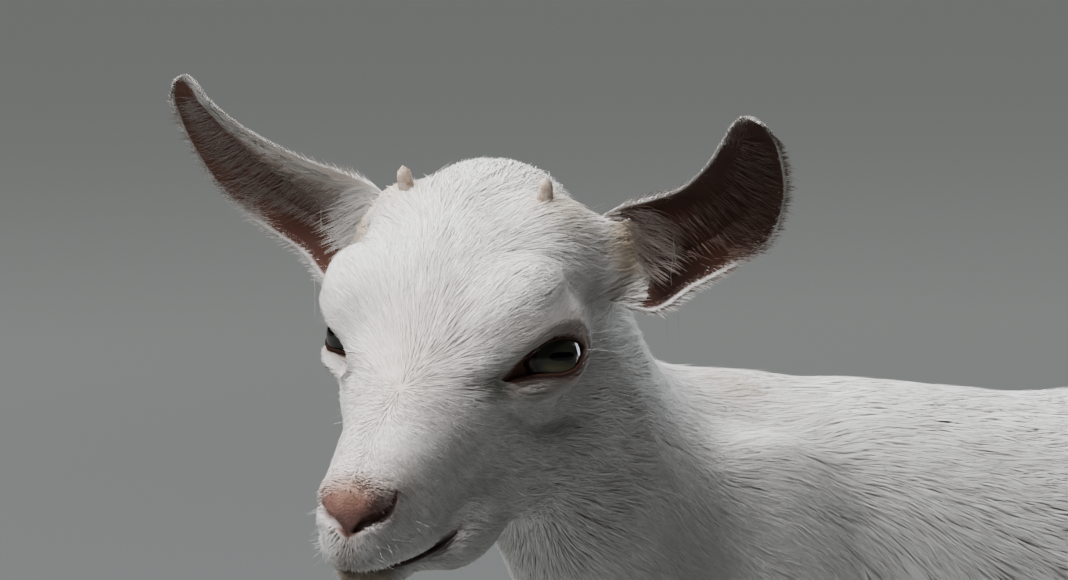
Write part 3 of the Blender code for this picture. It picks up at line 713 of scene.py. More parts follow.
class GOAT_OT_stage(bpy.types.Operator):
    """The camera, a plain pale floor and soft light"""

    bl_idname = "goat.stage"
    bl_label = "Stage"

    def execute(self, context):
        scene = context.scene
        settings = scene.goat_stage
        turn = camera_turn()
        camera = bpy.data.cameras.new("camera")
        camera.lens = CAMERA_LENS
        camera.sensor_width = CAMERA_SENSOR
        camera.clip_end = CAMERA_REACH
        eye = bpy.data.objects.new("camera", camera)
        eye.matrix_world = Matrix.Translation(HEAD_PLACE + turn @ Vector(CAMERA_OFFSET)) @ turn.to_4x4()
        scene.collection.objects.link(eye)
        scene.camera = eye

        bm = bmesh.new()
        bmesh.ops.create_circle(bm, cap_ends=True, segments=96, radius=FLOOR_RADIUS)
        mesh = mesh_of(bm, "floor")
        floor = bpy.data.objects.new("floor", mesh)
        scene.collection.objects.link(floor)
        paint = Paint("floor", Roughness=0.9)
        away = paint.out(paint.node("VectorMath", {"operation": "LENGTH"}, _0=paint.place()), 1)
        colour = np.array(settings.floor)
        # Painted light: further from the kid the floor is painted paler and glows faintly in its own colour.
        base = paint.mix(paint.ramp(away, *FLOOR_FADE), settings.floor, tuple(np.minimum(colour * 3, 0.9)))
        glow = paint.mix(paint.ramp(away, *FLOOR_GLOW), (0, 0, 0), tuple(colour * 0.9))
        paint.shader.inputs["Emission Strength"].default_value = 1.0
        mesh.materials.append(paint.finish(Base_Color=base, Emission_Color=glow))

        for name, aim, way, off, width, share, colour in LAMPS:
            place = aim + turn @ Vector(way).normalized() * off
            area_light(name, place, aim, width, settings.key * share, colour)
        along, across, out = CATCH_SPOT
        bulge = Vector(turned_from_head(unit(along * LID_ALONG + across * LID_ACROSS + out * GAZE)))
        view_way = turn @ Vector((0, 0, 1))
        catch_way = 2 * bulge.dot(view_way) * bulge - view_way
        place, power = HEAD_AIM + catch_way * CATCH_AWAY, settings.key * CATCH_SHARE
        catch = area_light("catch", place, HEAD_AIM, CATCH_WIDTH, power, CATCH_COLOUR)
        catch.visible_glossy = True
        catch.visible_diffuse = False

        scene.view_settings.look = "AgX - Medium High Contrast"
        world = bpy.data.worlds.new("studio")
        world.use_nodes = True
        world.node_tree.nodes["Background"].inputs["Color"].default_value = (0.92, 0.96, 1.0, 1.0)
        world.node_tree.nodes["Background"].inputs["Strength"].default_value = settings.world
        scene.world = world
        return {"FINISHED"}


# --- Skin ---
HEAD_VOXEL = 0.0018
BODY_VOXEL = 0.0034
SWELL = 0.0005  # closes the thin gaps between neighbouring nodes
LEGS = [
    f"{end}_{side}_{part}"
    for end, parts in (("front", ("forearm", "cannon")), ("hind", ("gaskin", "cannon")))
    for side in ("left", "right")
    for part in parts
]
FLESH = ["head", "neck", "trunk", "tail", *LEGS]
EAR_ROOT = (51, 44, 14)  # where the ear nodes are cut off for the skin, left side, and which way
EAR_ROOT_WAY = (0.93, 0.1, 0.25)
NECK_GAP = 0.0025  # between the head's skin and the body's, before they are bridged


def merged(node):
    """A copy of a CAD node's mesh with its triangles joined up."""
    bm = bmesh.new()
    bm.from_mesh(NODES[node].data)
    bmesh.ops.remove_doubles(bm, verts=bm.verts, dist=1e-5)
    return mesh_of(bm, node)


def flesh_mesh():
    """The flesh and the roots of the ears, slightly swollen, with sockets, lips and nostrils filled."""
    whole = bmesh.new()
    for name in FLESH:
        whole.from_mesh(merged(name))
    for side, name in ((1, "left_ear"), (-1, "right_ear")):
        root = bmesh.new()
        root.from_mesh(merged(name))
        everything = root.verts[:] + root.edges[:] + root.faces[:]
        place = Vector(from_head(np.array(EAR_ROOT) * (side, 1, 1)))
        way = Vector(turned_from_head(np.array(EAR_ROOT_WAY) * (side, 1, 1)))
        bmesh.ops.bisect_plane(root, geom=everything, plane_co=place, plane_no=way, clear_outer=True)
        bmesh.ops.holes_fill(root, edges=[edge for edge in root.edges if edge.is_boundary], sides=0)
        whole.from_mesh(mesh_of(root, "ear_root"))
    bmesh.ops.recalc_face_normals(whole, faces=whole.faces)
    whole.normal_update()
    for vertex in whole.verts:
        vertex.co += vertex.normal * SWELL
    balls = [(EYE_PLACE, EYE_RADIUS + 1.2)]
    balls += [(point + (-0.12 * point[0], 3.4, 0.9), 3.4) for point in smooth_rows(NOSTRIL, 8)]
    balls += [(point + (-2.6, 2.2, 0.4), 3.3) for point in smooth_rows(MOUTH, 14)]
    for centre, radius in balls:
        for side in (1, -1):
            place = Matrix.Translation(from_head(np.array(centre) * (side, 1, 1)))
            bmesh.ops.create_icosphere(whole, subdivisions=3, radius=radius * MM, matrix=place)
    return mesh_of(whole, "flesh")


def neck_cut():
    """A plane across the neck, behind the head, facing the head."""
    neck_low, neck_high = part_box("neck")
    poll = Vector(from_head((0, 52, -8)))
    base = (neck_low + neck_high) / 2
    way = (poll - base).normalized()
    return base + way * 0.012, way


def one_side(mesh, place, way, keep_front):
    bm = bmesh.new()
    bm.from_mesh(mesh)
    bmesh.ops.bisect_plane(
        bm,
        geom=bm.verts[:] + bm.edges[:] + bm.faces[:],
        plane_co=place,
        plane_no=way,
        clear_inner=keep_front,
        clear_outer=not keep_front,
    )
    return bm


def joined_skin(source):
    """A fine skin for the head and a coarser one for the body, bridged across the neck."""
    place, way = neck_cut()
    fine = one_side(remeshed(source, HEAD_VOXEL), place, way, True)
    coarse = one_side(remeshed(source, BODY_VOXEL), place - way * NECK_GAP, way, False)
    fine.from_mesh(mesh_of(coarse, "part"))
    rim = [edge for edge in fine.edges if edge.is_boundary]
    bmesh.ops.bridge_loops(fine, edges=rim)
    if any(edge.is_boundary for edge in fine.edges):
        raise RuntimeError("the skin is open at the neck")
    bmesh.ops.triangulate(fine, faces=[face for face in fine.faces if len(face.verts) > 4])
    return fine


def refined(bm, wanted):
    """Faces where wanted(places) is true, cut into four."""
    bm.faces.ensure_lookup_table()
    centres = np.array([face.calc_center_median() for face in bm.faces])
    pick = np.flatnonzero(wanted(to_head(centres)))
    edges = {edge for k in pick for edge in bm.faces[k].edges}
    bmesh.ops.subdivide_edges(bm, edges=list(edges), cuts=1, use_grid_fill=True)
    bmesh.ops.triangulate(bm, faces=[face for face in bm.faces if len(face.verts) > 4])


def near_face(places):
    """Which places lie near the eyes or on the muzzle."""
    left = folded(places)
    eye = np.linalg.norm(left - (32, -6, -3), axis=1) < 25
    muzzle = np.linalg.norm((left - (8, -80, -22)) / (20, 26, 24), axis=1) < 1
    return eye | muzzle


def near_rims(places):
    """Which places lie near the edges of the lids, nostrils and lips."""
    along, across, out = eye_coordinates(folded(places), 1)
    near = (np.abs(along + 3) < 18) & (np.abs(across) < 10) & (out > 2)
    reach = np.zeros(len(places), bool)
    reach[near] = np.abs(inside_lids(along[near], across[near])) < 2.6
    nostril, _ = NOSTRIL_LINE.distance(places)
    mouth, _ = MOUTH_LINE.distance(places)
    return reach | (nostril < 3.6) | (mouth < 2.2)


def body_frame(points):
    """Millimetres left of the middle, back from the world's origin and up."""
    return (np.asarray(points) - (MIDDLE_X, 0, 0)) / MM


def off_face(head):
    """Millimetres from the middle of the face, counted less along it."""
    return np.linalg.norm((head - (0, -12, -8)) / (1.0, 1.15, 1.0), axis=1)


def coat_depth(points):
    """Millimetres from the skin to the coat's outside."""
    head = to_head(points)
    body = body_frame(points)
    face = 1 - smoothstep(44, 78, off_face(head))
    muzzle = smoothstep(-34, -66, head[:, 1])
    off_crown = np.linalg.norm(head - (0, 40, 30), axis=1) - 45
    ears = smoothstep(42, 52, np.abs(head[:, 0])) * (1 - smoothstep(60, 90, off_crown))
    ears = ears * smoothstep(-30, -8, head[:, 2])
    poll = blob(head, (0, 44, 32), (30, 26, 22), 0.6)
    legs = 1 - smoothstep(130, 215, body[:, 2])
    tail = smoothstep(232, 262, body[:, 1])
    depth = 3.0 * np.ones(len(points))
    depth = depth + (1.1 - depth) * face
    depth = depth + (0.7 - depth) * muzzle * face
    depth = depth + (2.4 - depth) * poll
    depth = depth + (0.8 - depth) * np.clip(ears, 0, 1)
    depth = depth + (1.4 - depth) * legs
    return depth + (4.5 - depth) * tail


SWELLS = [
    # centre, reach and how far out, in millimetres; on both sides, or on the right alone if it lies there
    ((26.0, -6.0, 10.5), (13, 13, 6.5), 1.8),  # brow over the eye
    ((34.5, 8.0, 9.0), (8, 12, 6), 1.8),  # outer end of the brow
    ((20.0, -21.0, 5.0), (6.5, 10, 7), 2.2),  # between the eye and the bridge of the nose
    ((-27.0, -25.0, -10.0), (7, 9, 7), 1.6),  # ahead of the right lower lid
    ((33.0, -6.0, -13.5), (8, 12, 5.0), -1.3),  # hollow under the eye
    ((38.5, -10.0, -9.0), (6, 8, 5), -1.2),  # lower lid
    ((38.0, 17.0, -6.0), (7, 10, 10), 3.6),  # temple behind the eye
    ((38.0, 29.0, -14.0), (8, 10, 12), 1.8),  # cheek below the ear
    ((44.0, 35.0, 17.0), (7, 7, 8), -3.6),  # front of the ear's root
    ((-43.0, 34.0, 18.0), (10, 10, 11), -4.0),  # and more of it on the right, where the ear stands up
    ((31.0, 37.0, 28.0), (6, 7, 6), 2.0),  # crown beside the horn bud
    ((32.0, 4.0, 26.0), (8, 9, 7), 2.2),  # top of the brow
    ((17.0, -60.0, -12.0), (9, 13, 8), -0.7),  # side of the nose
    ((12.0, -84.0, -14.0), (4.5, 4.5, 5.5), 1.1),  # wing of the nostril
    ((5.0, -91.0, -22.5), (5.5, 4.0, 4.0), 0.8),  # front of the upper lip
    ((13.5, -79.0, -27.0), (5.5, 8.0, 3.2), 1.2),  # side of the upper lip
    ((0.0, -88.0, -26.0), (11.0, 9.0, 7.5), 3.6),  # front of the muzzle
    ((0.0, -86.0, -10.0), (10.0, 8.0, 8.0), 1.5),  # front of the nose
    ((0.0, -80.0, -37.0), (10.0, 10.0, 7.0), 3.2),  # chin
    ((0.0, 10.0, 30.0), (16, 20, 9), 0.8),  # forehead
    ((17.0, -32.0, -52.0), (13, 26, 12), 4.6),  # edge of the lower jaw
    ((0.0, 42.0, 38.0), (26, 5, 10), -1.2),  # dip behind the horn buds
]


def swollen(places, normals, weight):
    """The head's rounder forms: brows, cheekbones, muzzle, lips and jaw."""
    left = folded(places)
    out = np.zeros(len(places))
    for centre, reach, amount in SWELLS:
        spots = left if centre[0] >= 0 else places
        out += amount * np.exp(-((((spots - centre) / reach) ** 2).sum(1)))
    return places + normals * (out * weight)[:, None]


def grooved(places, normals, weight):
    """The head's finer forms: the mouth, nostrils and the folds round the eyes."""
    out = np.zeros(len(places))
    mouth, share = MOUTH_LINE.distance(places)
    ease = 1 - smoothstep(0.86, 1.0, share) * 0.6
    out -= (1.1 * np.exp(-((mouth / 3.2) ** 2)) + 3.4 * np.exp(-((mouth / 1.6) ** 2))) * ease
    crease, _ = LIP_CREASE_LINE.distance(places)
    out -= 0.55 * np.exp(-((crease / 1.8) ** 2))
    groove, _ = PHILTRUM_LINE.distance(places)
    out -= 0.8 * np.exp(-((groove / 0.8) ** 2))
    bag, _ = EYE_BAG_LINE.distance(places)
    out -= 2.3 * np.exp(-((bag / 3.0) ** 2))
    nostril, share = NOSTRIL_LINE.distance(places)
    wide = 0.7 + 1.2 * np.exp(-(((share - 0.52) / 0.27) ** 2))
    out -= 3.6 * np.exp(-((nostril / wide) ** 4)) * smoothstep(0.0, 0.3, share)
    tear_spot_and_shade = np.exp(-((((folded(places) - (21.8, -27.4, 2.2)) / (2.6, 3.8, 2.6)) ** 2).sum(1)))
    out -= 1.6 * tear_spot_and_shade
    return places + normals * (out * weight)[:, None]


def lidded(places):
    """Lids laid on the eyeballs, open along the almond."""
    places = places.copy()
    for side in (1, -1):
        along, across, out = eye_coordinates(places, side)
        near = np.flatnonzero((np.abs(along + 3) < 27) & (np.abs(across) < 22) & (out > -3))
        a, b, g = along[near], across[near], out[near]
        reach = inside_lids(a, b)
        surface = lid_surface(a, b)
        fold = 0.5 * np.exp(-(((reach + 2.2) / 1.2) ** 2))
        hold = smoothstep(-5.2, -0.6, reach) * smoothstep(-3, 2, g)
        lid = surface + fold
        g = g + (lid - g) * hold
        inside = np.clip(reach, 0, None)
        pit = np.where(a < -10.5, np.minimum(1.1 * inside, 1.3), np.minimum(2.2 * inside, 5.0))
        g = np.where(reach > 0, surface - 0.15 - pit, g)
        places[near] = eye_place(a, b, g, side)
    return places


def smart_unwrap(piece, name):
    """A flat unwrap of the piece's own shape as its UV map."""
    piece.data.uv_layers.new(name=name)
    bpy.ops.object.select_all(action="DESELECT")
    bpy.context.view_layer.objects.active = piece
    piece.select_set(True)
    bpy.ops.object.mode_set(mode="EDIT")
    bpy.ops.mesh.select_all(action="SELECT")
    bpy.ops.uv.smart_project(angle_limit=math.radians(70), island_margin=0.002)
    bpy.ops.object.mode_set(mode="OBJECT")


def skin_paint(flesh):
    paint = Paint("skin", Roughness=0.55)
    paint.shader.inputs["Specular IOR Level"].default_value = 0.35
    paint.shader.inputs["Subsurface Weight"].default_value = 0.0
    here = paint.place()
    mottle = paint.noise(here, 220.0, 4.0, 0.6)
    pores = paint.noise(here, 1400.0, 3.0, 0.6)
    colour = paint.mix(mottle, tuple(np.array(flesh.pale) * 0.86), flesh.pale)
    # Pinkish tint of thin-haired skin, with painted shade over the inner brows.
    colour = paint.mix(paint.attribute("blush_and_shade") * 0.5, colour, (0.55, 0.34, 0.30))
    pink = np.array(flesh.pink)
    nose = paint.mix(paint.ramp(mottle, 0.35, 0.65), tuple(pink * 0.72), tuple(pink * 1.1))
    colour = paint.mix(paint.attribute("pink"), colour, nose)
    colour = paint.mix(paint.attribute("stain") * 0.8, colour, (0.36, 0.22, 0.12))
    colour = paint.mix(paint.attribute("rim"), colour, flesh.rim)
    # Painted shade in the eye bag's crease, under the lower lids and under the lower lip, with tear stain at
    # the eyes' inner corners.
    colour = paint.mix(paint.attribute("tear_spot_and_shade") * 0.8, colour, (0.06, 0.05, 0.04))
    # Painted shade inside the nostrils, in the mouth's slit and down the philtrum.
    colour = paint.mix(paint.attribute("dark"), colour, (0.030, 0.012, 0.010))
    pebble = paint.node("TexVoronoi", {"feature": "DISTANCE_TO_EDGE"}, _0=here, Scale=900.0)
    height = pores * 0.4 + paint.out(pebble) * paint.attribute("pad")
    paint.bump(height, 0.0004, 0.5)
    rough = 0.62 - paint.attribute("pad") * 0.20
    return paint.finish(Base_Color=colour, Roughness=rough)


EAR_SHADE_TINTS = {1: 0.60, -1: 1.20}  # how pale the inside of each ear is: painted light and shade, the left ear's inside painted darker as in shade, the right paler as if lit
# Edge of the folded front: places along the ear, and how far across it there, from -1 to 1.
EAR_FOLD = ((0.0, 0.2, 0.35, 0.6, 0.93), (-0.75, -0.35, 0.15, 0.45, 0.75))
# How dark each group of an ear's hairs is, in the order in which they are grown: painted shade on the hairs
# inside the ears, heavier on the left ear and in the right ear's hollow.
EAR_SHADES = {
    1: (0.0, 1.0, 1.0, 0.0, 0.72, 0.25, 0.0),
    -1: (0.0, 0.55, 0.12, 0.8, 0.0, 0.15, 0.1, 0.0),
}


def ear_paint(flesh, side):
    """Pale behind; inside, reddish skin with painted shade in the hollow, darker on the left ear, and faint
    veins.
    """
    paint = Paint("ear_skin_left_shaded" if side > 0 else "ear_skin_right_lit", Roughness=0.60)
    # Painted light and shade: each ear's inside is tinted darker or paler by how it lies to the light.
    tint = np.array(flesh.ear) * EAR_SHADE_TINTS[side]
    here = paint.place()
    broad = paint.noise(here, 70.0, 4.0, 0.6)
    veins = paint.noise(here, 210.0, 5.0, 0.7)
    dark, light = tint * 0.5, tint * 1.5
    inside = paint.mix(broad, tuple(dark), tuple(light))
    inside = paint.mix(paint.ramp(veins, 0.55, 0.75) * 0.5, inside, tuple(tint * (0.9, 0.5, 0.45)))
    # Painted shade: the hollow of the ear is painted darker.
    inside = paint.mix(paint.attribute("hollow_shade"), inside, tuple(tint * 0.22))
    colour = paint.mix(paint.attribute("inside"), flesh.pale, inside)
    paint.bump(veins, 0.0005, 0.5)
    return paint.finish(Base_Color=colour)


class GOAT_OT_ears(bpy.types.Operator):
    """Ears as cupped leaves with thin rims, standing in the skin"""

    bl_idname = "goat.ears"
    bl_label = "Ears"

    def execute(self, context):
        for side, word in SIDES:
            paint = ear_paint(context.scene.goat_flesh, side)
            bm = bmesh.new()
            bmesh.ops.create_cone(bm, cap_ends=True, segments=72, radius1=1, radius2=1, depth=1)
            long_edges = [edge for edge in bm.edges if abs(edge.verts[0].co.z - edge.verts[1].co.z) > 0.5]
            bmesh.ops.subdivide_edges(bm, edges=long_edges, cuts=88)
            spots = np.array([vertex.co for vertex in bm.verts])
            angle, share = np.arctan2(spots[:, 1], spots[:, 0]), np.clip(spots[:, 2] + 0.5, 0, 1)
            places = from_head(EAR_LEAVES[side].place(share, angle))
            for vertex, place in zip(bm.verts, places):
                vertex.co = place
            bmesh.ops.recalc_face_normals(bm, faces=bm.faces)
            bmesh.ops.triangulate(bm, faces=[face for face in bm.faces if len(face.verts) > 4])
            mesh = mesh_of(bm, f"ear_{word}")
            across, depth = np.cos(angle), np.sin(angle)
            inside = smoothstep(0.05, 0.35, depth) * smoothstep(0.03, 0.12, share)
            if side < 0:
                fold = np.interp(share, *EAR_FOLD)
                inside = inside * smoothstep(fold + 0.25, fold - 0.15, across)
            put(mesh, "inside", inside)
            # Painted shade in the ear's hollow, weaker on the right ear.
            hollow_shade = inside * smoothstep(0.62, 0.20, share) * smoothstep(0.35, -0.35, across)
            hollow_shade = hollow_shade * smoothstep(0.10, 0.20, share) * (1.0 if side > 0 else 0.6)
            put(mesh, "hollow_shade", np.clip(hollow_shade, 0, 1))
            ear = shown(f"ear_{word}", mesh, paint)
            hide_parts(f"{word}_ear")
            smart_unwrap(ear, "OFBake")
        return {"FINISHED"}


class GOAT_OT_skin(bpy.types.Operator):
    """One skin over the flesh, inside it by the depth of the coat"""

    bl_idname = "goat.skin"
    bl_label = "Skin"

    def execute(self, context):
        bm = joined_skin(flesh_mesh())
        mesh = bpy.data.meshes.new("skin")
        bm.to_mesh(mesh)
        places = relaxed(coordinates(mesh), edge_ends(mesh), 5)
        set_places(mesh, places)
        depth = coat_depth(places) * MM + SWELL
        inward = relaxed(vertex_normals(mesh), edge_ends(mesh), 6)
        set_places(mesh, places - unit(inward) * depth[:, None])
        set_places(mesh, relaxed(coordinates(mesh), edge_ends(mesh), 3))
        bm.clear()
        bm.from_mesh(mesh)
        refined(bm, near_face)
        refined(bm, near_rims)
        bmesh.ops.triangulate(bm, faces=bm.faces)
        bmesh.ops.recalc_face_normals(bm, faces=bm.faces)
        bm.to_mesh(mesh)
        bm.free()
        places = coordinates(mesh)
        head = to_head(places)
        weight = near_face(head).astype(float)
        ends = edge_ends(mesh)
        head = relaxed(head, ends, 3, weight=weight)
        set_places(mesh, from_head(head))
        normals = unit(relaxed(vertex_normals(mesh), ends, 4)) @ AXES
        reach = np.linalg.norm(head - (0, -20, 0), axis=1)
        weight = 1 - smoothstep(85, 110, reach)
        head = swollen(head, normals, weight)
        set_places(mesh, from_head(head))
        normals = unit(relaxed(vertex_normals(mesh), ends, 2)) @ AXES
        head = grooved(head, normals, weight)
        head = lidded(head)
        set_places(mesh, from_head(head))
        for name, values in markings(head).items():
            put(mesh, name, values)
        skin = shown("skin", mesh, skin_paint(context.scene.goat_flesh))
        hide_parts(*FLESH)
        smart_unwrap(skin, "OFBake")
        return {"FINISHED"}


# --- Eyes ---
def eye_frame(side):
    """The way along the lids, across them and out, in the world, as columns."""
    flip = np.array((side, 1, 1))
    along = turned_from_head(LID_ALONG * flip)
    gaze = turned_from_head(GAZE * flip)
    return Matrix((along, np.cross(gaze, along), gaze)).transposed()


def eye_paint(side):
    """A green-grey iris with a slot of a pupil that lies level, in a dark ball."""
    paint = Paint(f"eye_{'left' if side > 0 else 'right'}", Roughness=0.12)
    paint.shader.inputs["Coat Weight"].default_value = 1.0
    paint.shader.inputs["Coat Roughness"].default_value = 0.07
    paint.shader.inputs["Specular IOR Level"].default_value = 0.1
    axes = eye_frame(side)
    centre = Vector(from_head(EYE_CENTRES[side] * (side, 1, 1)))
    scale = 1 / MM
    turn = axes.transposed()
    here = paint.place((scale,) * 3, -(turn @ centre) * scale, turn.to_euler())
    split = paint.node("SeparateXYZ", _0=here)
    along, high = paint.out(split, 0), paint.out(split, 1)
    level = turn @ HEAD_AXES @ Vector((5.5 * side, 6.1, -2.5))
    lean = math.atan2(level.y, level.x)
    off_along, off_high = along + 0.2, high - 0.1
    run = off_along * math.cos(lean) + off_high * math.sin(lean)
    rise = off_high * math.cos(lean) - off_along * math.sin(lean)
    out = (along * along + high * high) ** 0.5
    slot = ((run / 4.4) ** 2) ** 2 + (rise / 1.35) ** 2
    pupil = 1 - paint.ramp(slot, 0.85, 1.15)
    iris = 1 - paint.ramp(out, 8.2, 9.0)
    around = paint.out(paint.node("VectorMath", {"operation": "NORMALIZE"}, _0=here))
    spoke = paint.noise(around, 14.0, 5.0, 0.7)
    fleck = paint.noise(here, 1.1, 4.0, 0.6)
    green = paint.mix(spoke, (0.030, 0.033, 0.025), (0.085, 0.088, 0.062))
    green = paint.mix(paint.ramp(out, 3.0, 7.8) * fleck, green, (0.070, 0.076, 0.060))
    amber = (1 - paint.ramp(rise, -4.4, -1.2)) * paint.ramp(rise, -6.2, -3.6)
    amber = amber * (1 - paint.ramp(out, 5.6, 7.6))
    green = paint.mix(amber * 0.8, green, (0.17, 0.150, 0.075))
    green = paint.mix(paint.ramp(out, 7.2, 8.6), green, (0.024, 0.019, 0.015))
    ball = paint.mix(fleck, (0.040, 0.025, 0.020), (0.080, 0.048, 0.038))
    colour = paint.mix(iris, ball, green)
    colour = paint.mix(pupil, colour, (0.005, 0.005, 0.006))
    # Painted shade: the right eye is painted darker, as if in shade.
    if side < 0:
        colour = paint.mix(0.6, colour, (0.004, 0.004, 0.004))
    paint.bump(spoke * iris, 0.0001, 0.15)
    return paint.finish(Base_Color=colour)


class GOAT_OT_eyes(bpy.types.Operator):
    """Eyeballs with a raised cornea, iris and level pupil"""

    bl_idname = "goat.eyes"
    bl_label = "Eyes"

    def execute(self, context):
        for side, word in SIDES:
            bm = bmesh.new()
            bmesh.ops.create_uvsphere(bm, u_segments=64, v_segments=48, radius=EYE_RADIUS * MM)
            for vertex in bm.verts:
                lean = vertex.co.angle(Vector((0, 0, 1)))
                rise = 0.45 * smoothstep(math.radians(44), math.radians(20), lean)
                vertex.co *= 1 + rise / EYE_RADIUS
            place = Matrix.Translation(from_head(EYE_CENTRES[side] * (side, 1, 1))) @ eye_frame(side).to_4x4()
            bmesh.ops.transform(bm, matrix=place, verts=bm.verts)
            eye = shown(f"eye_{word}", mesh_of(bm, f"eye_{word}"), eye_paint(side))
            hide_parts(f"{word}_eye")
        return {"FINISHED"}


def tube_mesh(name, lines, radii, closed=False, sides=1):
    """Round tubes along lines of world points, thick by the radii of their points."""
    curve = bpy.data.curves.new(name, "CURVE")
    curve.dimensions = "3D"
    curve.bevel_depth = 1.0
    curve.bevel_resolution = sides
    curve.use_fill_caps = not closed
    for line, widths in zip(lines, radii):
        spline = curve.splines.new("POLY")
        spline.points.add(len(line) - 1)
        for point, place, width in zip(spline.points, line, widths):
            point.co = (*place, 1)
            point.radius = width
        spline.use_cyclic_u = closed
    piece = bpy.data.objects.new(name, curve)
    bpy.context.scene.collection.objects.link(piece)
    mesh = evaluated(piece)
    bpy.data.objects.remove(piece)
    return mesh


def rim_paint(name, colour):
    paint = Paint(name, Roughness=0.55)
    spots = paint.noise(paint.place(), 900.0, 3.0)
    colour = paint.mix(spots, tuple(np.array(colour) * 0.5), tuple(np.array(colour) * 1.2))
    paint.bump(spots, 0.0002, 0.4)
    return paint.finish(Base_Color=colour)


# Painted shade: the colour of the dark tube in the mouth's slit.
LIP_SLIT_SHADE = (0.105, 0.068, 0.058)


class GOAT_OT_lids(bpy.types.Operator):
    """Moist rims of the eyelids, the right ones painted darker for shade, and a dark tube along the mouth for
    the shade in its slit
    """

    bl_idname = "goat.lids"
    bl_label = "Lids and lips"

    def execute(self, context):
        rim = np.array(context.scene.goat_flesh.rim)
        for side, word in SIDES:
            # Painted shade: the right lid rims are painted darker, as if in shade.
            paint = rim_paint(f"lid_rim_{word}", rim if side > 0 else rim * 0.3)
            along, across = LID_LOOP.T
            out = lid_surface(along, across) - 0.25
            loop = from_head(eye_place(along, across, out, side))
            width = (0.42 + 0.16 * smoothstep(1.0, -3.0, across) - 0.14 * smoothstep(-10, -17, along)) * MM
            mesh = tube_mesh(f"lid_rim_{word}", [loop], [width], closed=True, sides=3)
            shown(f"lid_rim_{word}", mesh, paint)
        # Painted shade: a dark tube along the mouth line stands in for the shade in the slit between the
        # lips.
        left = MOUTH_LINE.points[:-3] + (-0.35, 0.35, 0.0)
        line = from_head(np.vstack((left[::-1] * (-1, 1, 1), left[1:])))
        share = np.abs(np.linspace(-1, 1, len(line)))
        width = (0.85 - 0.1 * smoothstep(0.5, 0.0, share) - 0.6 * smoothstep(0.7, 1.0, share)) * MM
        mesh = tube_mesh("lip_slit_shade", [line], [width], sides=3)
        shown("lip_slit_shade", mesh, rim_paint("lip_slit_shade", LIP_SLIT_SHADE))
        return {"FINISHED"}


# --- Horn buds and claws ---
def horn_paint():
    paint = Paint("horn_bud", Roughness=0.55)
    rings = paint.noise(paint.place((0.25, 0.25, 1.6)), 900.0, 4.0, 0.6)
    grime = paint.noise(paint.place(), 350.0, 4.0, 0.6)
    colour = paint.mix(rings, (0.38, 0.27, 0.20), (0.62, 0.50, 0.41))
    colour = paint.mix(paint.ramp(grime, 0.42, 0.62), colour, (0.70, 0.60, 0.52))
    paint.bump(rings * 0.7 + grime * 0.5, 0.0006, 0.5)
    return paint.finish(Base_Color=colour)


def claw_paint():
    paint = Paint("claw", Roughness=0.45)
    bands = paint.noise(paint.place((0.12, 0.12, 1.0)), 700.0, 4.0, 0.6)
    streaks = paint.noise(paint.place((1.0, 1.0, 0.10)), 500.0, 3.0, 0.6)
    colour = paint.mix(streaks, (0.16, 0.105, 0.06), (0.46, 0.35, 0.22))
    colour = paint.mix(bands * 0.45, colour, (0.58, 0.48, 0.34))
    height = paint.out(paint.node("SeparateXYZ", _0=paint.place()), 2)
    colour = paint.mix((1 - paint.ramp(height, 0.0, 0.006)) * 0.55, colour, (0.10, 0.075, 0.05))
    paint.bump(bands * 0.8 + streaks * 0.3, 0.0005, 0.7)
    return paint.finish(Base_Color=colour)


def softened_copy(node):
    """A copy of a CAD node, merged and subdivided smooth."""
    bm = bmesh.new()
    bm.from_mesh(NODES[node].data)
    bmesh.ops.remove_doubles(bm, verts=bm.verts, dist=1e-5)
    bmesh.ops.dissolve_limit(bm, angle_limit=math.radians(4), verts=bm.verts, edges=bm.edges)
    bmesh.ops.triangulate(bm, faces=bm.faces)
    bmesh.ops.subdivide_edges(bm, edges=bm.edges, cuts=1, smooth=0.35, use_grid_fill=True)
    for vertex in bm.verts:
        vertex.co.z = max(vertex.co.z, 0.0)
    bmesh.ops.recalc_face_normals(bm, faces=bm.faces)
    return mesh_of(bm, node)


HORN_PLACE = (23.8, 34.6, 35.6)  # left horn bud, millimetres on the head
HORN_SIZE = (0.0028, 0.0028, 0.0074)  # half its widths and height, in metres


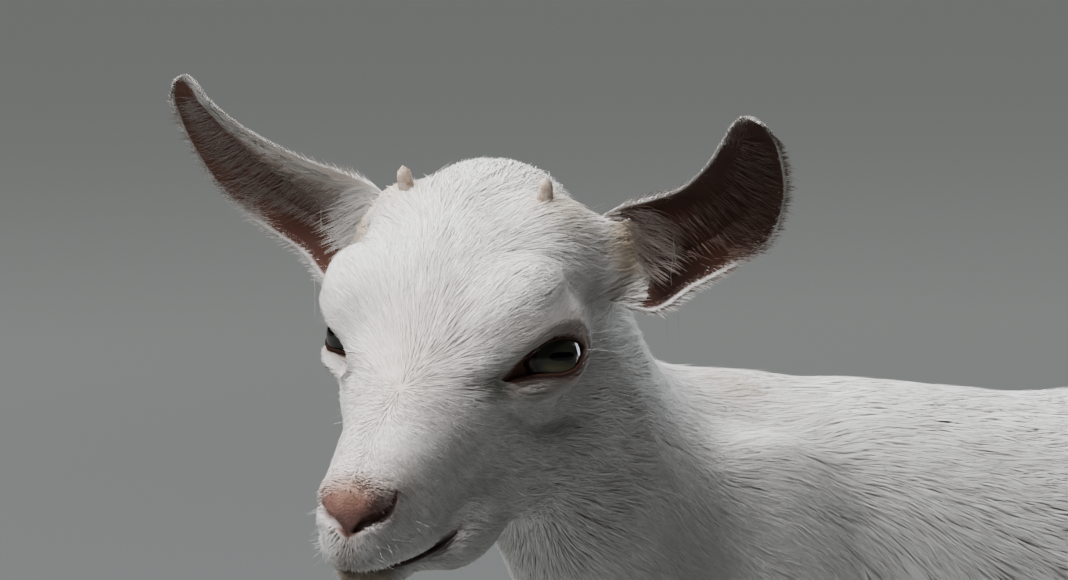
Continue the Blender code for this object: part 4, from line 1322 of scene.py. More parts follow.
class GOAT_OT_horn_buds(bpy.types.Operator):
    """Blunt horn buds, ringed and rough at the base"""

    bl_idname = "goat.horn_buds"
    bl_label = "Horn buds"

    def execute(self, context):
        paint = horn_paint()
        rng = np.random.default_rng(3)
        for side, word in SIDES:
            bm = bmesh.new()
            bmesh.ops.create_cone(bm, cap_ends=True, segments=20, radius1=1.0, radius2=0.35, depth=2.0)
            sides = [edge for edge in bm.edges if abs(edge.verts[0].co.z - edge.verts[1].co.z) > 1]
            bmesh.ops.subdivide_edges(bm, edges=sides, cuts=9)
            lumps = rng.normal(0, 1, (6, 4))
            for vertex in bm.verts:
                x, y, z = vertex.co
                up = (z + 1) / 2
                swell = math.sqrt(max(1 - (0.86 * up) ** 4, 0.02))
                ring = 1 + 0.05 * math.sin(up * 22) * (1 - up)
                waves = (math.sin(3 * a * x + 3 * b * y + 2 * c * z + d) for a, b, c, d in lumps)
                bump = 1 + 0.008 * sum(waves)
                flat = math.hypot(x, y)
                if flat > 1e-6:
                    vertex.co.x = x / flat * swell * ring * bump * (0.98 if up < 1 else 0.6 * flat)
                    vertex.co.y = y / flat * swell * ring * bump * (0.98 if up < 1 else 0.6 * flat)
            top = max(bm.faces, key=lambda face: face.calc_center_median().z)
            bmesh.ops.inset_individual(bm, faces=[top], thickness=0.18, depth=0.10)
            bmesh.ops.smooth_vert(
                bm, verts=bm.verts, factor=0.4, use_axis_x=True, use_axis_y=True, use_axis_z=True
            )
            lean = Vector((side * 0.10, 0.10, 1)).normalized()
            turn = (HEAD_AXES @ lean).to_track_quat("Z", "Y").to_matrix().to_4x4()
            size = Matrix.Diagonal((*HORN_SIZE, 1))
            place = Matrix.Translation(from_head(np.array(HORN_PLACE) * (side, 1, 1)))
            bmesh.ops.transform(bm, matrix=place @ turn @ size, verts=bm.verts)
            bmesh.ops.recalc_face_normals(bm, faces=bm.faces)
            bud = shown(f"horn_bud_{word}", mesh_of(bm, f"horn_bud_{word}"), paint)
            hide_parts(f"{word}_horn")
        return {"FINISHED"}


class GOAT_OT_claws(bpy.types.Operator):
    """Claws and dewclaws"""

    bl_idname = "goat.claws"
    bl_label = "Claws"

    def execute(self, context):
        paint = claw_paint()
        for node in sorted(name for name in NODES if name.endswith("claw")):
            piece = shown(f"{node}_horn", softened_copy(node), paint)
            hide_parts(node)
        return {"FINISHED"}


# --- The lie of the coat ---
# Place, the way the hair points, its length and its width. Left side and middle; the
# right side mirrors it. Millimetres in the head's frame.
HEAD_LIE = [
    (4, -80, -2, 0.9, -0.1, -0.4, 3.5, 0.40),
    (6, -68, 1, 0.9, -0.1, -0.4, 5.0, 0.42),
    (0, -58, 4, 0.3, -0.5, -0.2, 5.5, 0.42),
    (8, -55, 2, 0.95, 0.0, -0.35, 7.0, 0.42),
    (13, -70, -12, 0.35, 0.35, -0.85, 5.0, 0.42),
    (16, -55, -15, 0.35, 0.55, -0.75, 7.0, 0.45),
    (14, -77, -24, 0.30, 0.55, -0.75, 4.5, 0.42),
    (5, -89, -23, 0.60, 0.1, -0.80, 3.5, 0.40),
    (8, -82, -36, 0.15, 0.60, -0.80, 5.0, 0.45),
    (0, -84, -38, 0.0, 0.45, -0.90, 5.0, 0.45),
    (0, -66, -46, 0.0, 1.0, -0.10, 9.0, 0.55),
    (18, -60, -40, 0.1, 0.9, -0.35, 8.0, 0.50),
    (9, -41, 5, 1.0, 0.10, -0.20, 9.0, 0.45),
    (0, -31, 11, 0.0, 1.0, 0.35, 11.0, 0.48),
    (6, -33, 9, 0.55, 0.85, 0.20, 11.0, 0.48),
    (7, -48, 4, 0.95, -0.05, -0.35, 8.0, 0.45),
    (0, -15, 19, 0.02, 1.0, 0.35, 13.0, 0.52),
    (8, -20, 16, 0.40, 0.95, 0.20, 13.0, 0.52),
    (0, 8, 28, 0.05, 1.0, 0.20, 14.0, 0.55),
    (12, 0, 24, 0.50, 0.90, 0.10, 13.0, 0.52),
    (20, -14, 13, 0.70, 0.75, 0.05, 12.0, 0.50),
    (24, 4, 21, 0.85, 0.60, 0.0, 12.0, 0.52),
    (16, 16, 29, 0.80, 0.65, 0.0, 13.0, 0.58),
    (0, 24, 34, 0.15, 1.0, 0.0, 13.0, 0.62),
    (28, 18, 24, 0.95, 0.40, -0.10, 12.0, 0.55),
    (29, -3, 11, 0.40, 0.80, 0.50, 8.0, 0.45),
    (34, 8, 6, 0.30, 0.95, 0.10, 8.0, 0.45),
    (16, -32, 6, 0.85, 0.50, 0.0, 10.0, 0.46),
    (20, -27, 0, 0.90, 0.40, -0.15, 9.0, 0.45),
    (14, -42, 0, 0.90, 0.25, -0.35, 9.0, 0.45),
    (15, -50, -4, 0.75, 0.30, -0.60, 8.0, 0.45),
    (24, -26, -4, 0.60, 0.60, -0.50, 6.0, 0.42),
    (29, -14, -12, 0.35, 0.75, -0.55, 5.5, 0.42),
    (33, 0, -15, 0.10, 0.95, -0.35, 6.5, 0.42),
    (30, -20, -20, 0.30, 0.75, -0.60, 8.0, 0.46),
    (31, -5, -32, 0.10, 0.85, -0.50, 10.0, 0.50),
    (26, -25, -32, 0.20, 0.78, -0.60, 10.0, 0.50),
    (22, -42, -28, 0.20, 0.75, -0.65, 9.0, 0.48),
    (37, 12, -6, 0.0, 0.97, -0.20, 8.0, 0.48),
    (38, 24, -8, 0.0, 0.90, -0.40, 11.0, 0.55),
    (36, 22, 8, 0.30, 0.95, 0.0, 10.0, 0.52),
    (22, -34, -48, 0.0, 0.92, -0.35, 11.0, 0.56),
    (25, 0, -52, 0.0, 0.90, -0.40, 13.0, 0.60),
    (30, 25, -38, 0.0, 0.80, -0.60, 14.0, 0.66),
    (0, -34, -58, 0.0, 1.0, 0.0, 13.0, 0.62),
    (0, 10, -64, 0.0, 1.0, -0.2, 15.0, 0.70),
    (0, 44, 36, 0.25, 0.9, 0.1, 14.0, 0.75),
    (14, 46, 34, 0.40, 0.9, 0.1, 14.0, 0.75),
    (0, 64, 22, 0.05, 0.85, -0.50, 17.0, 0.85),
    (32, 62, 4, 0.0, 0.75, -0.65, 17.0, 0.80),
    (20, 28, 33, 0.50, 0.85, 0.0, 11.0, 0.62),
]
# Millimetres left of the body's middle, back and up.
BODY_LIE = [
    (38, -125, 402, -0.25, 0.92, -0.25, 20.0, 0.95),
    (68, -150, 360, -0.10, 0.68, -0.72, 20.0, 0.90),
    (-8, -140, 345, 0.05, 0.68, -0.72, 20.0, 0.90),
    (30, -190, 320, 0.0, 0.30, -0.95, 20.0, 0.95),
    (0, -43, 388, 0.0, 1.0, -0.10, 24.0, 1.15),
    (0, 60, 380, 0.0, 1.0, 0.0, 25.0, 1.35),
    (0, 190, 370, 0.0, 0.92, -0.35, 25.0, 1.35),
    (55, -60, 310, 0.0, 0.62, -0.78, 22.0, 1.05),
    (58, -70, 240, 0.0, 0.50, -0.87, 20.0, 1.10),
    (20, -150, 265, 0.0, 0.25, -0.96, 24.0, 1.20),
    (62, 40, 300, 0.0, 0.85, -0.50, 25.0, 1.35),
    (60, 120, 290, 0.0, 0.80, -0.60, 25.0, 1.35),
    (30, 60, 210, -0.2, 0.95, -0.20, 25.0, 1.40),
    (58, 190, 290, 0.0, 0.35, -0.93, 22.0, 1.35),
    (48, 215, 225, 0.0, 0.10, -1.0, 18.0, 1.25),
    (30, 235, 300, 0.0, 0.15, -1.0, 22.0, 1.35),
    (42, -60, 165, 0.0, 0.10, -1.0, 12.0, 1.00),
    (42, -60, 90, 0.0, 0.05, -1.0, 8.5, 0.95),
    (42, -65, 40, 0.0, 0.0, -1.0, 8.0, 0.95),
    (42, 215, 165, 0.0, 0.15, -1.0, 12.0, 1.00),
    (42, 215, 90, 0.0, 0.0, -1.0, 8.5, 0.95),
    (42, 205, 40, 0.0, 0.0, -1.0, 8.0, 0.95),
]


class Waves:
    """Smooth random numbers over space, about -1 to 1, that change over a given size."""

    def __init__(self, seed, size, count=20):
        rng = np.random.default_rng(seed)
        ways = unit(rng.normal(size=(count, 3))) * (2 * math.pi / size)
        self.ways = ways * rng.uniform(0.6, 1.5, (count, 1))
        self.starts = rng.uniform(0, 2 * math.pi, count)

    def __call__(self, points):
        return np.sin(points / MM @ self.ways.T + self.starts).sum(1) / math.sqrt(len(self.starts) / 2) * 0.7


class Lie:
    """Which way the coat lies at a point, with its hairs' length and width in millimetres."""

    def __init__(self):
        head = both_sides(HEAD_LIE)
        body = both_sides(BODY_LIE)
        tail_low, tail_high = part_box("tail")
        middle = (tail_low.z + tail_high.z) / 2 / MM
        start = tail_low.y / MM
        tail = [(0, start + share * 60, middle, 0, 1, -0.1, 24, 1.3) for share in (0.3, 0.6, 1.0)]
        body = np.vstack((body, tail))
        self.places = np.vstack((from_head(head[:, :3]), body[:, :3] * MM + (MIDDLE_X, 0, 0)))
        self.ways = np.vstack((unit(turned_from_head(head[:, 3:6])), unit(body[:, 3:6])))
        self.sizes = np.vstack((head[:, 6:8], body[:, 6:8]))
        self.reach = np.r_[np.full(len(head), 5.0), np.full(len(body), 22.0)]

    def __call__(self, points):
        ways = np.empty((len(points), 3))
        sizes = np.empty((len(points), 2))
        for start in range(0, len(points), 40000):
            some = slice(start, start + 40000)
            away = np.linalg.norm(points[some, None] - self.places, axis=2) / MM
            share = 1 / (away**2 + self.reach**2) ** 2
            share /= share.sum(1, keepdims=True)
            ways[some] = share @ self.ways
            sizes[some] = share @ self.sizes
        head = to_head(points)
        from_whorl = head - WHORL
        near = np.exp(-((np.linalg.norm(from_whorl, axis=1) / 4.5) ** 2))[:, None]
        ways = unit(ways) * (1 - near) + turned_from_head(unit(from_whorl)) * near
        return unit(ways), sizes


class Ground:
    """The skin as ground to grow on: random roots, and walks over its surface."""

    def __init__(self, piece):
        mesh = piece.data
        self.places = coordinates(mesh)
        self.normals = vertex_normals(mesh)
        self.corners = triangles(mesh)
        self.tree = BVHTree.FromPolygons(self.places.tolist(), self.corners.tolist())
        loops = np.empty(len(mesh.loop_triangles) * 3, np.int32)
        mesh.loop_triangles.foreach_get("loops", loops)
        flat = np.empty(len(mesh.loops) * 2, np.float32)
        mesh.uv_layers["OFBake"].data.foreach_get("uv", flat)
        self.flat = flat.reshape(-1, 2)[loops].reshape(-1, 3, 2)
        three = self.places[self.corners]
        self.centres = three.mean(1)
        across = np.cross(three[:, 1] - three[:, 0], three[:, 2] - three[:, 0])
        self.areas = np.linalg.norm(across, axis=1) / 2 / MM**2

    def roots(self, rng, density):
        """Random roots, density of them to the square millimetre of each face."""
        wanted = self.areas * density
        total = wanted.sum()
        count = int(total)
        faces = np.searchsorted(np.cumsum(wanted), rng.uniform(0, total, count)).clip(0, len(wanted) - 1)
        u, v = np.sqrt(rng.uniform(size=count)), rng.uniform(size=count)
        share = np.column_stack((1 - u, u * (1 - v), u * v))[:, :, None]
        corners = self.corners[faces]
        places = (self.places[corners] * share).sum(1)
        normals = unit((self.normals[corners] * share).sum(1))
        return places, normals, (self.flat[faces] * share).sum(1)

    def land(self, points):
        """The nearest places on the surface, and its normals there."""
        places = np.empty_like(points)
        faces = np.empty(len(points), int)
        find = self.tree.find_nearest
        for k, point in enumerate(points.tolist()):
            place, _, face, _ = find(point)
            places[k] = place
            faces[k] = face
        return places, unit(self.normals[self.corners[faces]].mean(1))

    def walk(self, places, normals, ways, lengths, steps):
        """Rows of places and normals, from the roots along the lie of the coat."""
        rows = [(places, normals)]
        ways = unit(ways - normals * (ways * normals).sum(1, keepdims=True))
        for _ in range(steps):
            places, normals = self.land(places + ways * (lengths / steps)[:, None])
            ways = unit(ways - normals * (ways * normals).sum(1, keepdims=True))
            rows.append((places, normals))
        return rows


TUFT_ROUNDNESS = 0.34  # how far a tuft's normals turn to its sides
TUFT_LEAN = 0.15  # and to its tip
TUFT_STEPS = 2
PATCH = 0.003  # how wide a tuft lies on its map


def tuft_mesh(name, rows, heights, widths, flat, tone, ridged, roll, marks):
    """Tapering tufts through rows of places, joined in one mesh."""
    count = len(widths)
    width_shares = {2: (0.65, 1.0, 0.0), 3: (0.6, 1.0, 0.8, 0.0)}[len(rows) - 1]
    high_shares = {2: (-0.25, 0.62, 1.0), 3: (-0.2, 0.45, 0.8, 1.0)}[len(rows) - 1]
    lifted = [
        place + normal * (heights * share * MM)[:, None]
        for (place, normal), share in zip(rows, high_shares)
    ]
    way = unit(lifted[-1] - lifted[0])
    rise = rows[1][1]
    side = unit(np.cross(way, rise))
    top = np.cross(side, way)
    side = side * np.cos(roll)[:, None] + top * np.sin(roll)[:, None]
    top = np.cross(side, way)
    layout = []
    for row, (place, share) in enumerate(zip(lifted, width_shares)):
        half = side * (widths * share * MM / 2)[:, None]
        v = row / (len(rows) - 1)
        if row == len(rows) - 1:
            layout.append([(place, 0.5, v)])
        elif ridged and row > 0:
            ridge = place + top * (widths * 0.16 * MM)[:, None]
            layout.append([(place + half, 1.0, v), (ridge, 0.5, v), (place - half, 0.0, v)])
        else:
            layout.append([(place + half, 1.0, v), (place - half, 0.0, v)])
    starts = np.cumsum([0] + [len(row) for row in layout])
    faces = []
    for k, (here, there) in enumerate(zip(layout[:-1], layout[1:])):
        low, high = starts[k], starts[k + 1]
        if len(there) == 1:
            faces += [(low + j, low + j + 1, high) for j in range(len(here) - 1)]
        elif len(here) == len(there):
            for j in range(len(here) - 1):
                faces += [(low + j, low + j + 1, high + j), (low + j + 1, high + j + 1, high + j)]
        else:
            faces += [(low, low + 1, high + 1), (low, high + 1, high), (low + 1, high + 2, high + 1)]
    size = starts[-1]
    points = np.stack([place for row in layout for place, _, _ in row], axis=1)
    a, b, c = (points[:, faces_k] for faces_k in np.array(faces).T)
    facing = (np.cross(b - a, c - a) * rows[1][1][:, None]).sum(2)
    patch = np.array([(u, v) for row in layout for _, u, v in row])
    rising = np.stack([unit(rows[k][1]) for k, row in enumerate(layout) for _ in row], axis=1)
    bend = (patch[:, 0] - 0.5)[None, :, None] * 2 * TUFT_ROUNDNESS
    lean = way[:, None] * TUFT_LEAN
    rounded = unit(rising + side[:, None] * bend + lean * (patch[:, 1] - 0.4)[None, :, None])
    faces = np.array(faces)
    corners = np.where(facing[:, :, None] < 0, faces[None, :, ::-1], faces[None])
    corners = (np.arange(count)[:, None, None] * size + corners).reshape(-1, 3)
    mesh = bpy.data.meshes.new(name)
    mesh.vertices.add(count * size)
    mesh.vertices.foreach_set("co", points.astype(np.float32).ravel())
    mesh.loops.add(corners.size)
    mesh.loops.foreach_set("vertex_index", corners.astype(np.int32).ravel())
    mesh.polygons.add(len(corners))
    mesh.polygons.foreach_set("loop_start", np.arange(0, corners.size, 3, dtype=np.int32))
    mesh.update(calc_edges=True)
    mesh.shade_smooth()
    mesh.normals_split_custom_set_from_vertices(rounded.reshape(-1, 3))
    uv = (flat[:, None] + (patch - 0.5) * PATCH).clip(0, 1).reshape(-1, 2)[corners.ravel()]
    mesh.uv_layers.new(name="OFBake").data.foreach_set("uv", uv.astype(np.float32).ravel())
    put(mesh, "tone", np.repeat(tone, size))
    put(mesh, "tip", np.tile(patch[:, 1], count))
    for mark, values in marks.items():
        put(mesh, mark, np.repeat(values, size))
    return mesh


def coat_paint(settings, flesh):
    paint = Paint("coat", Roughness=0.62)
    paint.shader.inputs["Specular IOR Level"].default_value = 0.30
    paint.shader.inputs["Sheen Weight"].default_value = 0.10
    paint.shader.inputs["Sheen Roughness"].default_value = 0.5
    white = np.array(settings.white)
    fine = paint.noise(paint.place(), 1800.0, 2.0)
    shade = paint.clamped(paint.attribute("tone") * 0.75 + fine * 0.35)
    colour = paint.mix(shade, tuple(white * (0.64, 0.60, 0.565)), tuple(np.minimum(white * 1.08, 0.95)))
    colour = paint.mix(paint.attribute("stain") * (0.6 + fine * 0.6), colour, settings.stain)
    # Pinkish tint of thin-haired skin, with painted shade over the inner brows.
    colour = paint.mix(paint.attribute("blush_and_shade") * 0.65, colour, (0.60, 0.45, 0.40))
    # Painted shade: hairs inside the ears are painted grey-brown, by the amounts in EAR_SHADES.
    colour = paint.mix(paint.attribute("ear"), colour, (0.27, 0.19, 0.16))
    colour = paint.mix(paint.attribute("pink") * 0.85, colour, tuple(np.array(flesh.pink) * 1.3))
    colour = paint.mix(paint.attribute("rim") * 0.8, colour, tuple(np.array(flesh.rim) * 2.0))
    # Painted shade in the eye bag's crease, under the lower lids and under the lower lip, with tear stain at
    # the eyes' inner corners.
    colour = paint.mix(paint.attribute("tear_spot_and_shade") * 0.85, colour, (0.15, 0.15, 0.105))
    # Painted shade: each tuft is painted darker towards its root, for the shade between the hairs.
    root = 1 - paint.ramp(paint.attribute("tip"), 0.0, 0.45)
    colour = paint.mix(root * 0.16, colour, tuple(white * (0.72, 0.66, 0.60)))
    return paint.finish(Base_Color=colour)


HEAD_REACH = 76  # millimetres from the face within which the coat counts as the head's
BODY_WAVES = [Waves(21, 46.0), Waves(22, 15.0)]
FINE_WAVES = [Waves(23, 16.0), Waves(24, 5.0)]


def clear_of_eyes(rows):
    """Which tufts stay off the eyeballs."""
    keep = np.ones(len(rows[0][0]), bool)
    for row in (1, -1):
        spot = to_head(rows[row][0])
        for side in (1, -1):
            along, across, out = eye_coordinates(spot, side)
            near = np.flatnonzero((np.abs(along + 3) < 20) & (np.abs(across) < 12) & (out > 0))
            keep[near] &= inside_lids(along[near], across[near]) < -0.4
    return keep


def clear_of_lips(rows):
    """Which tufts leave the line of the mouth and the nostrils open."""
    root, tip = to_head(rows[0][0]), to_head(rows[-1][0])
    keep = np.ones(len(root), bool)
    near = np.flatnonzero(np.linalg.norm(root - (0, -75, -25), axis=1) < 45)
    over = MOUTH_LINE.crossed(root[near], tip[near], 1.6)
    over |= NOSTRIL_LINE.crossed(root[near], tip[near], 1.3)
    over |= PHILTRUM_LINE.crossed(root[near], tip[near], 0.25)
    keep[near] = ~over
    return keep


class Coat:
    """Grows tufts on the skin and the ears, region by region."""

    def __init__(self, settings, flesh):
        self.ground = Ground(bpy.data.objects["skin"])
        self.lie = Lie()
        self.settings = settings
        self.paint = coat_paint(settings, flesh)
        ground = self.ground
        self.head = to_head(ground.centres)
        self.body = body_frame(ground.centres)
        self.marks = markings(self.head)
        self.is_head = off_face(self.head) < HEAD_REACH
        low_z = self.body[:, 2]
        self.is_leg = (low_z < 178) & ~self.is_head
        tail_low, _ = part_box("tail")
        behind = self.body[:, 1] > tail_low.y / MM + 12
        self.is_tail = behind & (np.abs(self.body[:, 0]) < 26) & (low_z > 300)
        self.is_neck = (self.body[:, 1] < -70) & (low_z > 255) & ~self.is_head
        self.is_trunk = ~(self.is_head | self.is_leg | self.is_tail | self.is_neck)
        _, self.sizes = self.lie(ground.centres)

    def random(self, name):
        return np.random.default_rng(self.settings.seed + sum(map(ord, name)))

    def plant(
        self, name, rng, rows, heights, widths, flat, marks, ridged=False, roll=0.14, tone=(0.55, 0.26)
    ):
        """One piece of coat from the rows of its tufts, with the middle and spread of its shades."""
        count = len(widths)
        middle, spread = tone
        patches = 0.16 * FINE_WAVES[1](rows[0][0] + 0.3)
        shades = (middle + patches + spread * rng.normal(size=count)).clip(0, 1)
        rolls = rng.normal(0, roll, count)
        mesh = tuft_mesh(name, rows, heights, widths, flat, shades, ridged, rolls, marks)
        shown(name, mesh, self.paint)

    def grow(self, name, where, cover, ridged=True, scale=(1.0, 1.0), swing=0.30, lift=1.0):
        """One piece of coat over the faces picked, cover tufts deep."""
        rng = self.random(name)
        ground = self.ground
        length, width = self.sizes[:, 0] * scale[0], self.sizes[:, 1] * scale[1]
        bare = np.maximum(self.marks["pad"], self.marks["rim"])
        keep = (1 - bare) * (1 - 0.9 * self.marks["dark"])
        density = where * cover / (0.62 * length * width) * keep * self.settings.fullness
        density = density * (1 + 1.6 * np.exp(-((np.linalg.norm(self.head - WHORL, axis=1) / 6.0) ** 2)))
        places, normals, flat = ground.roots(rng, density)
        ways, sizes = self.lie(places)
        head = to_head(places)
        marks = markings(head)
        lengths = sizes[:, 0] * scale[0] * rng.uniform(0.7, 1.2, len(places))
        widths = sizes[:, 1] * scale[1] * rng.uniform(0.7, 1.3, len(places))
        mouth = smoothstep(1.5, 7.0, MOUTH_LINE.distance(head)[0])
        near_pad = smoothstep(0.9, 0.0, marks["pad"]) * (1 - 0.6 * smoothstep(0.15, 0.8, marks["blush_and_shade"]))
        whorl = np.exp(-((np.linalg.norm(head - WHORL, axis=1) / 7.0) ** 2))
        lip = np.exp(-((np.linalg.norm(head - (0, -90, -24), axis=1) / 10.0) ** 2))
        lengths = lengths * (0.32 + 0.68 * near_pad) * (0.45 + 0.55 * mouth)
        lengths = lengths * (1 - 0.45 * whorl) * (1 - 0.3 * lip)
        side = np.cross(normals, ways)
        broad, narrow = FINE_WAVES if self.sizes[where > 0, 1].mean() < 0.8 else BODY_WAVES
        sway = 0.55 * broad(places) + 0.45 * narrow(places)
        curls = 1 + 1.6 * blob(head, (0, 38, 36), (22, 14, 12), 0.6)
        sway = swing * sway * curls + rng.normal(0, 0.09, len(places))
        ways = unit(ways + side * sway[:, None])
        rows = ground.walk(places, normals, ways, lengths * MM, TUFT_STEPS)
        depth = coat_depth(places)
        on_head = where[self.is_head].any()
        lowest = 0.62 if on_head else 0.80
        heights = depth * rng.uniform(lowest, 0.98, len(places)) * lift
        stray = rng.uniform(size=len(places)) < 0.02
        heights = np.where(stray, depth * lift * rng.uniform(1.1, 1.5, len(places)), heights)
        if on_head:
            keep = clear_of_eyes(rows) & clear_of_lips(rows)
        else:
            keep = np.ones(len(places), bool)
        rows = [(place[keep], normal[keep]) for place, normal in rows]
        marks = {mark: values[keep] for mark, values in marks.items() if mark not in ("pad", "dark")}
        marks["ear"] = np.zeros(keep.sum())
        tone = (0.60, 0.33) if on_head else (0.74, 0.14)
        self.plant(name, rng, rows, heights[keep], widths[keep], flat[keep], marks, ridged, tone=tone)

    def leaf_rows(self, side, share, angle, ways, lengths, curve):
        """Rows of straight tufts from the ear's surface, bent a little along curve."""
        leaf = EAR_LEAVES[side]
        start = leaf.place(share, angle)
        round_it = leaf.place(share, angle + 0.02) - start
        ahead = leaf.place(np.minimum(share + 0.01, 1), angle) - start
        normal = unit(np.cross(round_it, ahead + 1e-9)) * side
        outward = leaf.ways(share)[2] * np.sin(angle)[:, None] + leaf.ways(share)[1] * np.cos(angle)[:, None]
        normal = normal * np.sign((normal * outward).sum(1, keepdims=True))
        normal = turned_from_head(normal)
        return [
            (from_head(start + (ways + curve * t) * (lengths * t)[:, None]), normal)
            for t in (0.0, 0.5, 1.0)
        ]

    def grow_ear(self, side, word):
        """The short coat behind an ear, hairs inside, the fringe round its rim and the tuft at its base."""
        rng = self.random(word)
        leaf = EAR_LEAVES[side]
        ground = Ground(bpy.data.objects[f"ear_{word}"])
        full = self.settings.fullness * 1.0

        tree = KDTree(len(ground.corners))
        for k, centre in enumerate(ground.centres):
            tree.insert(centre, k)
        tree.balance()

        parts = []
        # behind: dense and short, towards the tip
        count = int(12500 * full)
        share, angle = rng.uniform(0.02, 0.985, count), -np.arccos(rng.uniform(-0.985, 0.985, count))
        along, wide, opening = leaf.ways(share)
        lengths = (6.5 - 3.0 * share) * rng.uniform(0.7, 1.2, count) * smoothstep(1.0, 0.84, share)
        lengths = lengths * (0.5 + 0.5 * np.sin(angle) ** 2)
        ways = unit(along + wide * rng.normal(0, 0.14, count)[:, None] - opening * 0.03)
        parts.append((share, angle, ways, lengths, -opening * 0.05, rng.uniform(0.25, 0.42, count), 0.45))
        # inside near the rims, and a fan from the ridge to the lower rim
        count = int(5200 * full)
        share = rng.uniform(0.04, 0.965, count)
        upper = rng.uniform(size=count) < 0.50
        across = np.where(upper, 1 - rng.beta(1.0, 3.4, count), -1 + rng.beta(1.0, 3.4, count))
        angle = np.arccos(np.clip(across, -1, 1))
        along, wide, opening = leaf.ways(share)
        lengths = (5.5 - 2.5 * share) * rng.uniform(0.7, 1.3, count) * smoothstep(1.04, 0.84, share)
        outward = np.where(upper, 0.30, -0.75) - 0.35 * smoothstep(0.5, 0.9, share)
        ways = unit(along + wide * (outward + rng.normal(0, 0.16, count))[:, None])
        parts.append((share, angle, ways, lengths, opening * 0.04, rng.uniform(0.10, 0.20, count), 0.25))
        # the right ear's front edge is folded over, with pale coat on it
        if side < 0:
            count = int(8500 * full)
            share = rng.uniform(0.0, 0.93, count)
            lowest = np.interp(share, *EAR_FOLD)
            across = lowest + (1 - lowest) * rng.uniform(0, 1, count) ** 0.8
            along, wide, opening = leaf.ways(share)
            ways = unit(along + wide * (rng.normal(0, 0.15, count) - 0.1)[:, None])
            widths, lengths = rng.uniform(0.20, 0.36, count), rng.uniform(3.5, 6.0, count)
            lengths = lengths * smoothstep(1.0, 0.8, share)
            parts.append((share, np.arccos(across), ways, lengths, along * 0, widths, 0.4))
        # sparse hairs over the hollow
        count = int((900 if side > 0 else 2000) * full)
        share, across = rng.uniform(0.10, 0.80, count), rng.uniform(-0.7, 0.6, count)
        along, wide, opening = leaf.ways(share)
        ways = unit(along * 0.5 - wide * (0.8 + rng.normal(0, 0.2, count))[:, None] + opening * 0.10)
        lengths, widths = rng.uniform(5, 10, count), rng.uniform(0.12, 0.20, count)
        parts.append((share, np.arccos(across), ways, lengths, opening * 0.05, widths, 0.5))
        # fringe round the rim
        count = int(9000 * full)
        share = rng.uniform(0.03, 1.0, count) ** 0.8
        upper = rng.uniform(size=count) < 0.5
        angle = np.where(upper, 0, math.pi) + rng.normal(0, 0.22, count)
        along, wide, opening = leaf.ways(share)
        outward = wide * np.where(upper, 1, -1)[:, None]
        tip = smoothstep(0.88, 1.0, share)[:, None]
        ways = outward * (0.5 - 0.1 * tip) + along * (0.9 - 0.3 * tip)
        ways = unit(ways + opening * rng.normal(0, 0.25, count)[:, None])
        lengths = rng.uniform(0.8, 1.9, count) * (1 - 0.3 * tip[:, 0]) * np.where(share < 0.15, 1.6, 1)
        parts.append((share, angle, ways, lengths, along * 0.1, rng.uniform(0.12, 0.24, count), 0.1))
        # tuft of long hairs that fans from the front of the base across the opening
        count = int(460 * full)
        share, across = rng.uniform(0.04, 0.22, count), rng.uniform(-0.2, 0.95, count)
        along, wide, opening = leaf.ways(share)
        ways = along * 0.9 - wide * rng.uniform(0.1, 0.6, count)[:, None]
        ways = unit(ways + opening * rng.uniform(0.1, 0.45, count)[:, None])
        lengths, widths = rng.uniform(7, 15, count), rng.uniform(0.10, 0.20, count)
        parts.append((share, np.arccos(across), ways, lengths, -wide * 0.5 - opening * 0.15, widths, 0.6))
        # dense pale coat over the very base, and wisps under it
        count = int(1200 * full)
        share, across = rng.uniform(0.0, 0.09, count), rng.uniform(-1, 1, count)
        along, wide, opening = leaf.ways(share)
        ways = unit(along + wide * rng.normal(0, 0.25, count)[:, None])
        lengths, widths = rng.uniform(3.5, 7, count), rng.uniform(0.3, 0.5, count)
        parts.append((share, np.arccos(across), ways, lengths, along * 0, widths, 0.6))
        count = int((34 if side < 0 else 5) * full)
        share, across = rng.uniform(0.10, 0.36, count), rng.uniform(-0.6, 0.5, count)
        along, wide, opening = leaf.ways(share)
        down = np.array((0.0, -0.1, -1.0)) + rng.normal(0, 0.12, (count, 3))
        ways = unit(down + opening * 0.75)
        droop = np.array((0.0, 0.1, -0.35)) - opening * 0.3
        lengths, widths = rng.uniform(12, 30, count), rng.uniform(0.08, 0.13, count)
        parts.append((share, np.arccos(across), ways, lengths, droop, widths, 0.2))
        for number, (share, angle, ways, lengths, curve, widths, height) in enumerate(parts):
            faces = [tree.find(place)[1] for place in from_head(leaf.place(share, angle))]
            flat = ground.flat[np.array(faces), 0]
            heights = height * rng.uniform(0.4, 1.3, len(share))
            rows = self.leaf_rows(side, share, angle, ways, lengths, curve)
            marks = {"ear": smoothstep(0.05, 0.35, np.sin(angle)) * EAR_SHADES[side][number]}
            marks.update({mark: np.zeros(len(share)) for mark in ("pink", "rim", "stain", "blush_and_shade", "tear_spot_and_shade")})
            marks["stain"] = 0.6 * smoothstep(0.30, 0.10, share) * (angle < 0)
            name = f"coat_ear_{word}_{number}"
            self.plant(name, rng, rows, heights, widths, flat, marks, roll=0.3)


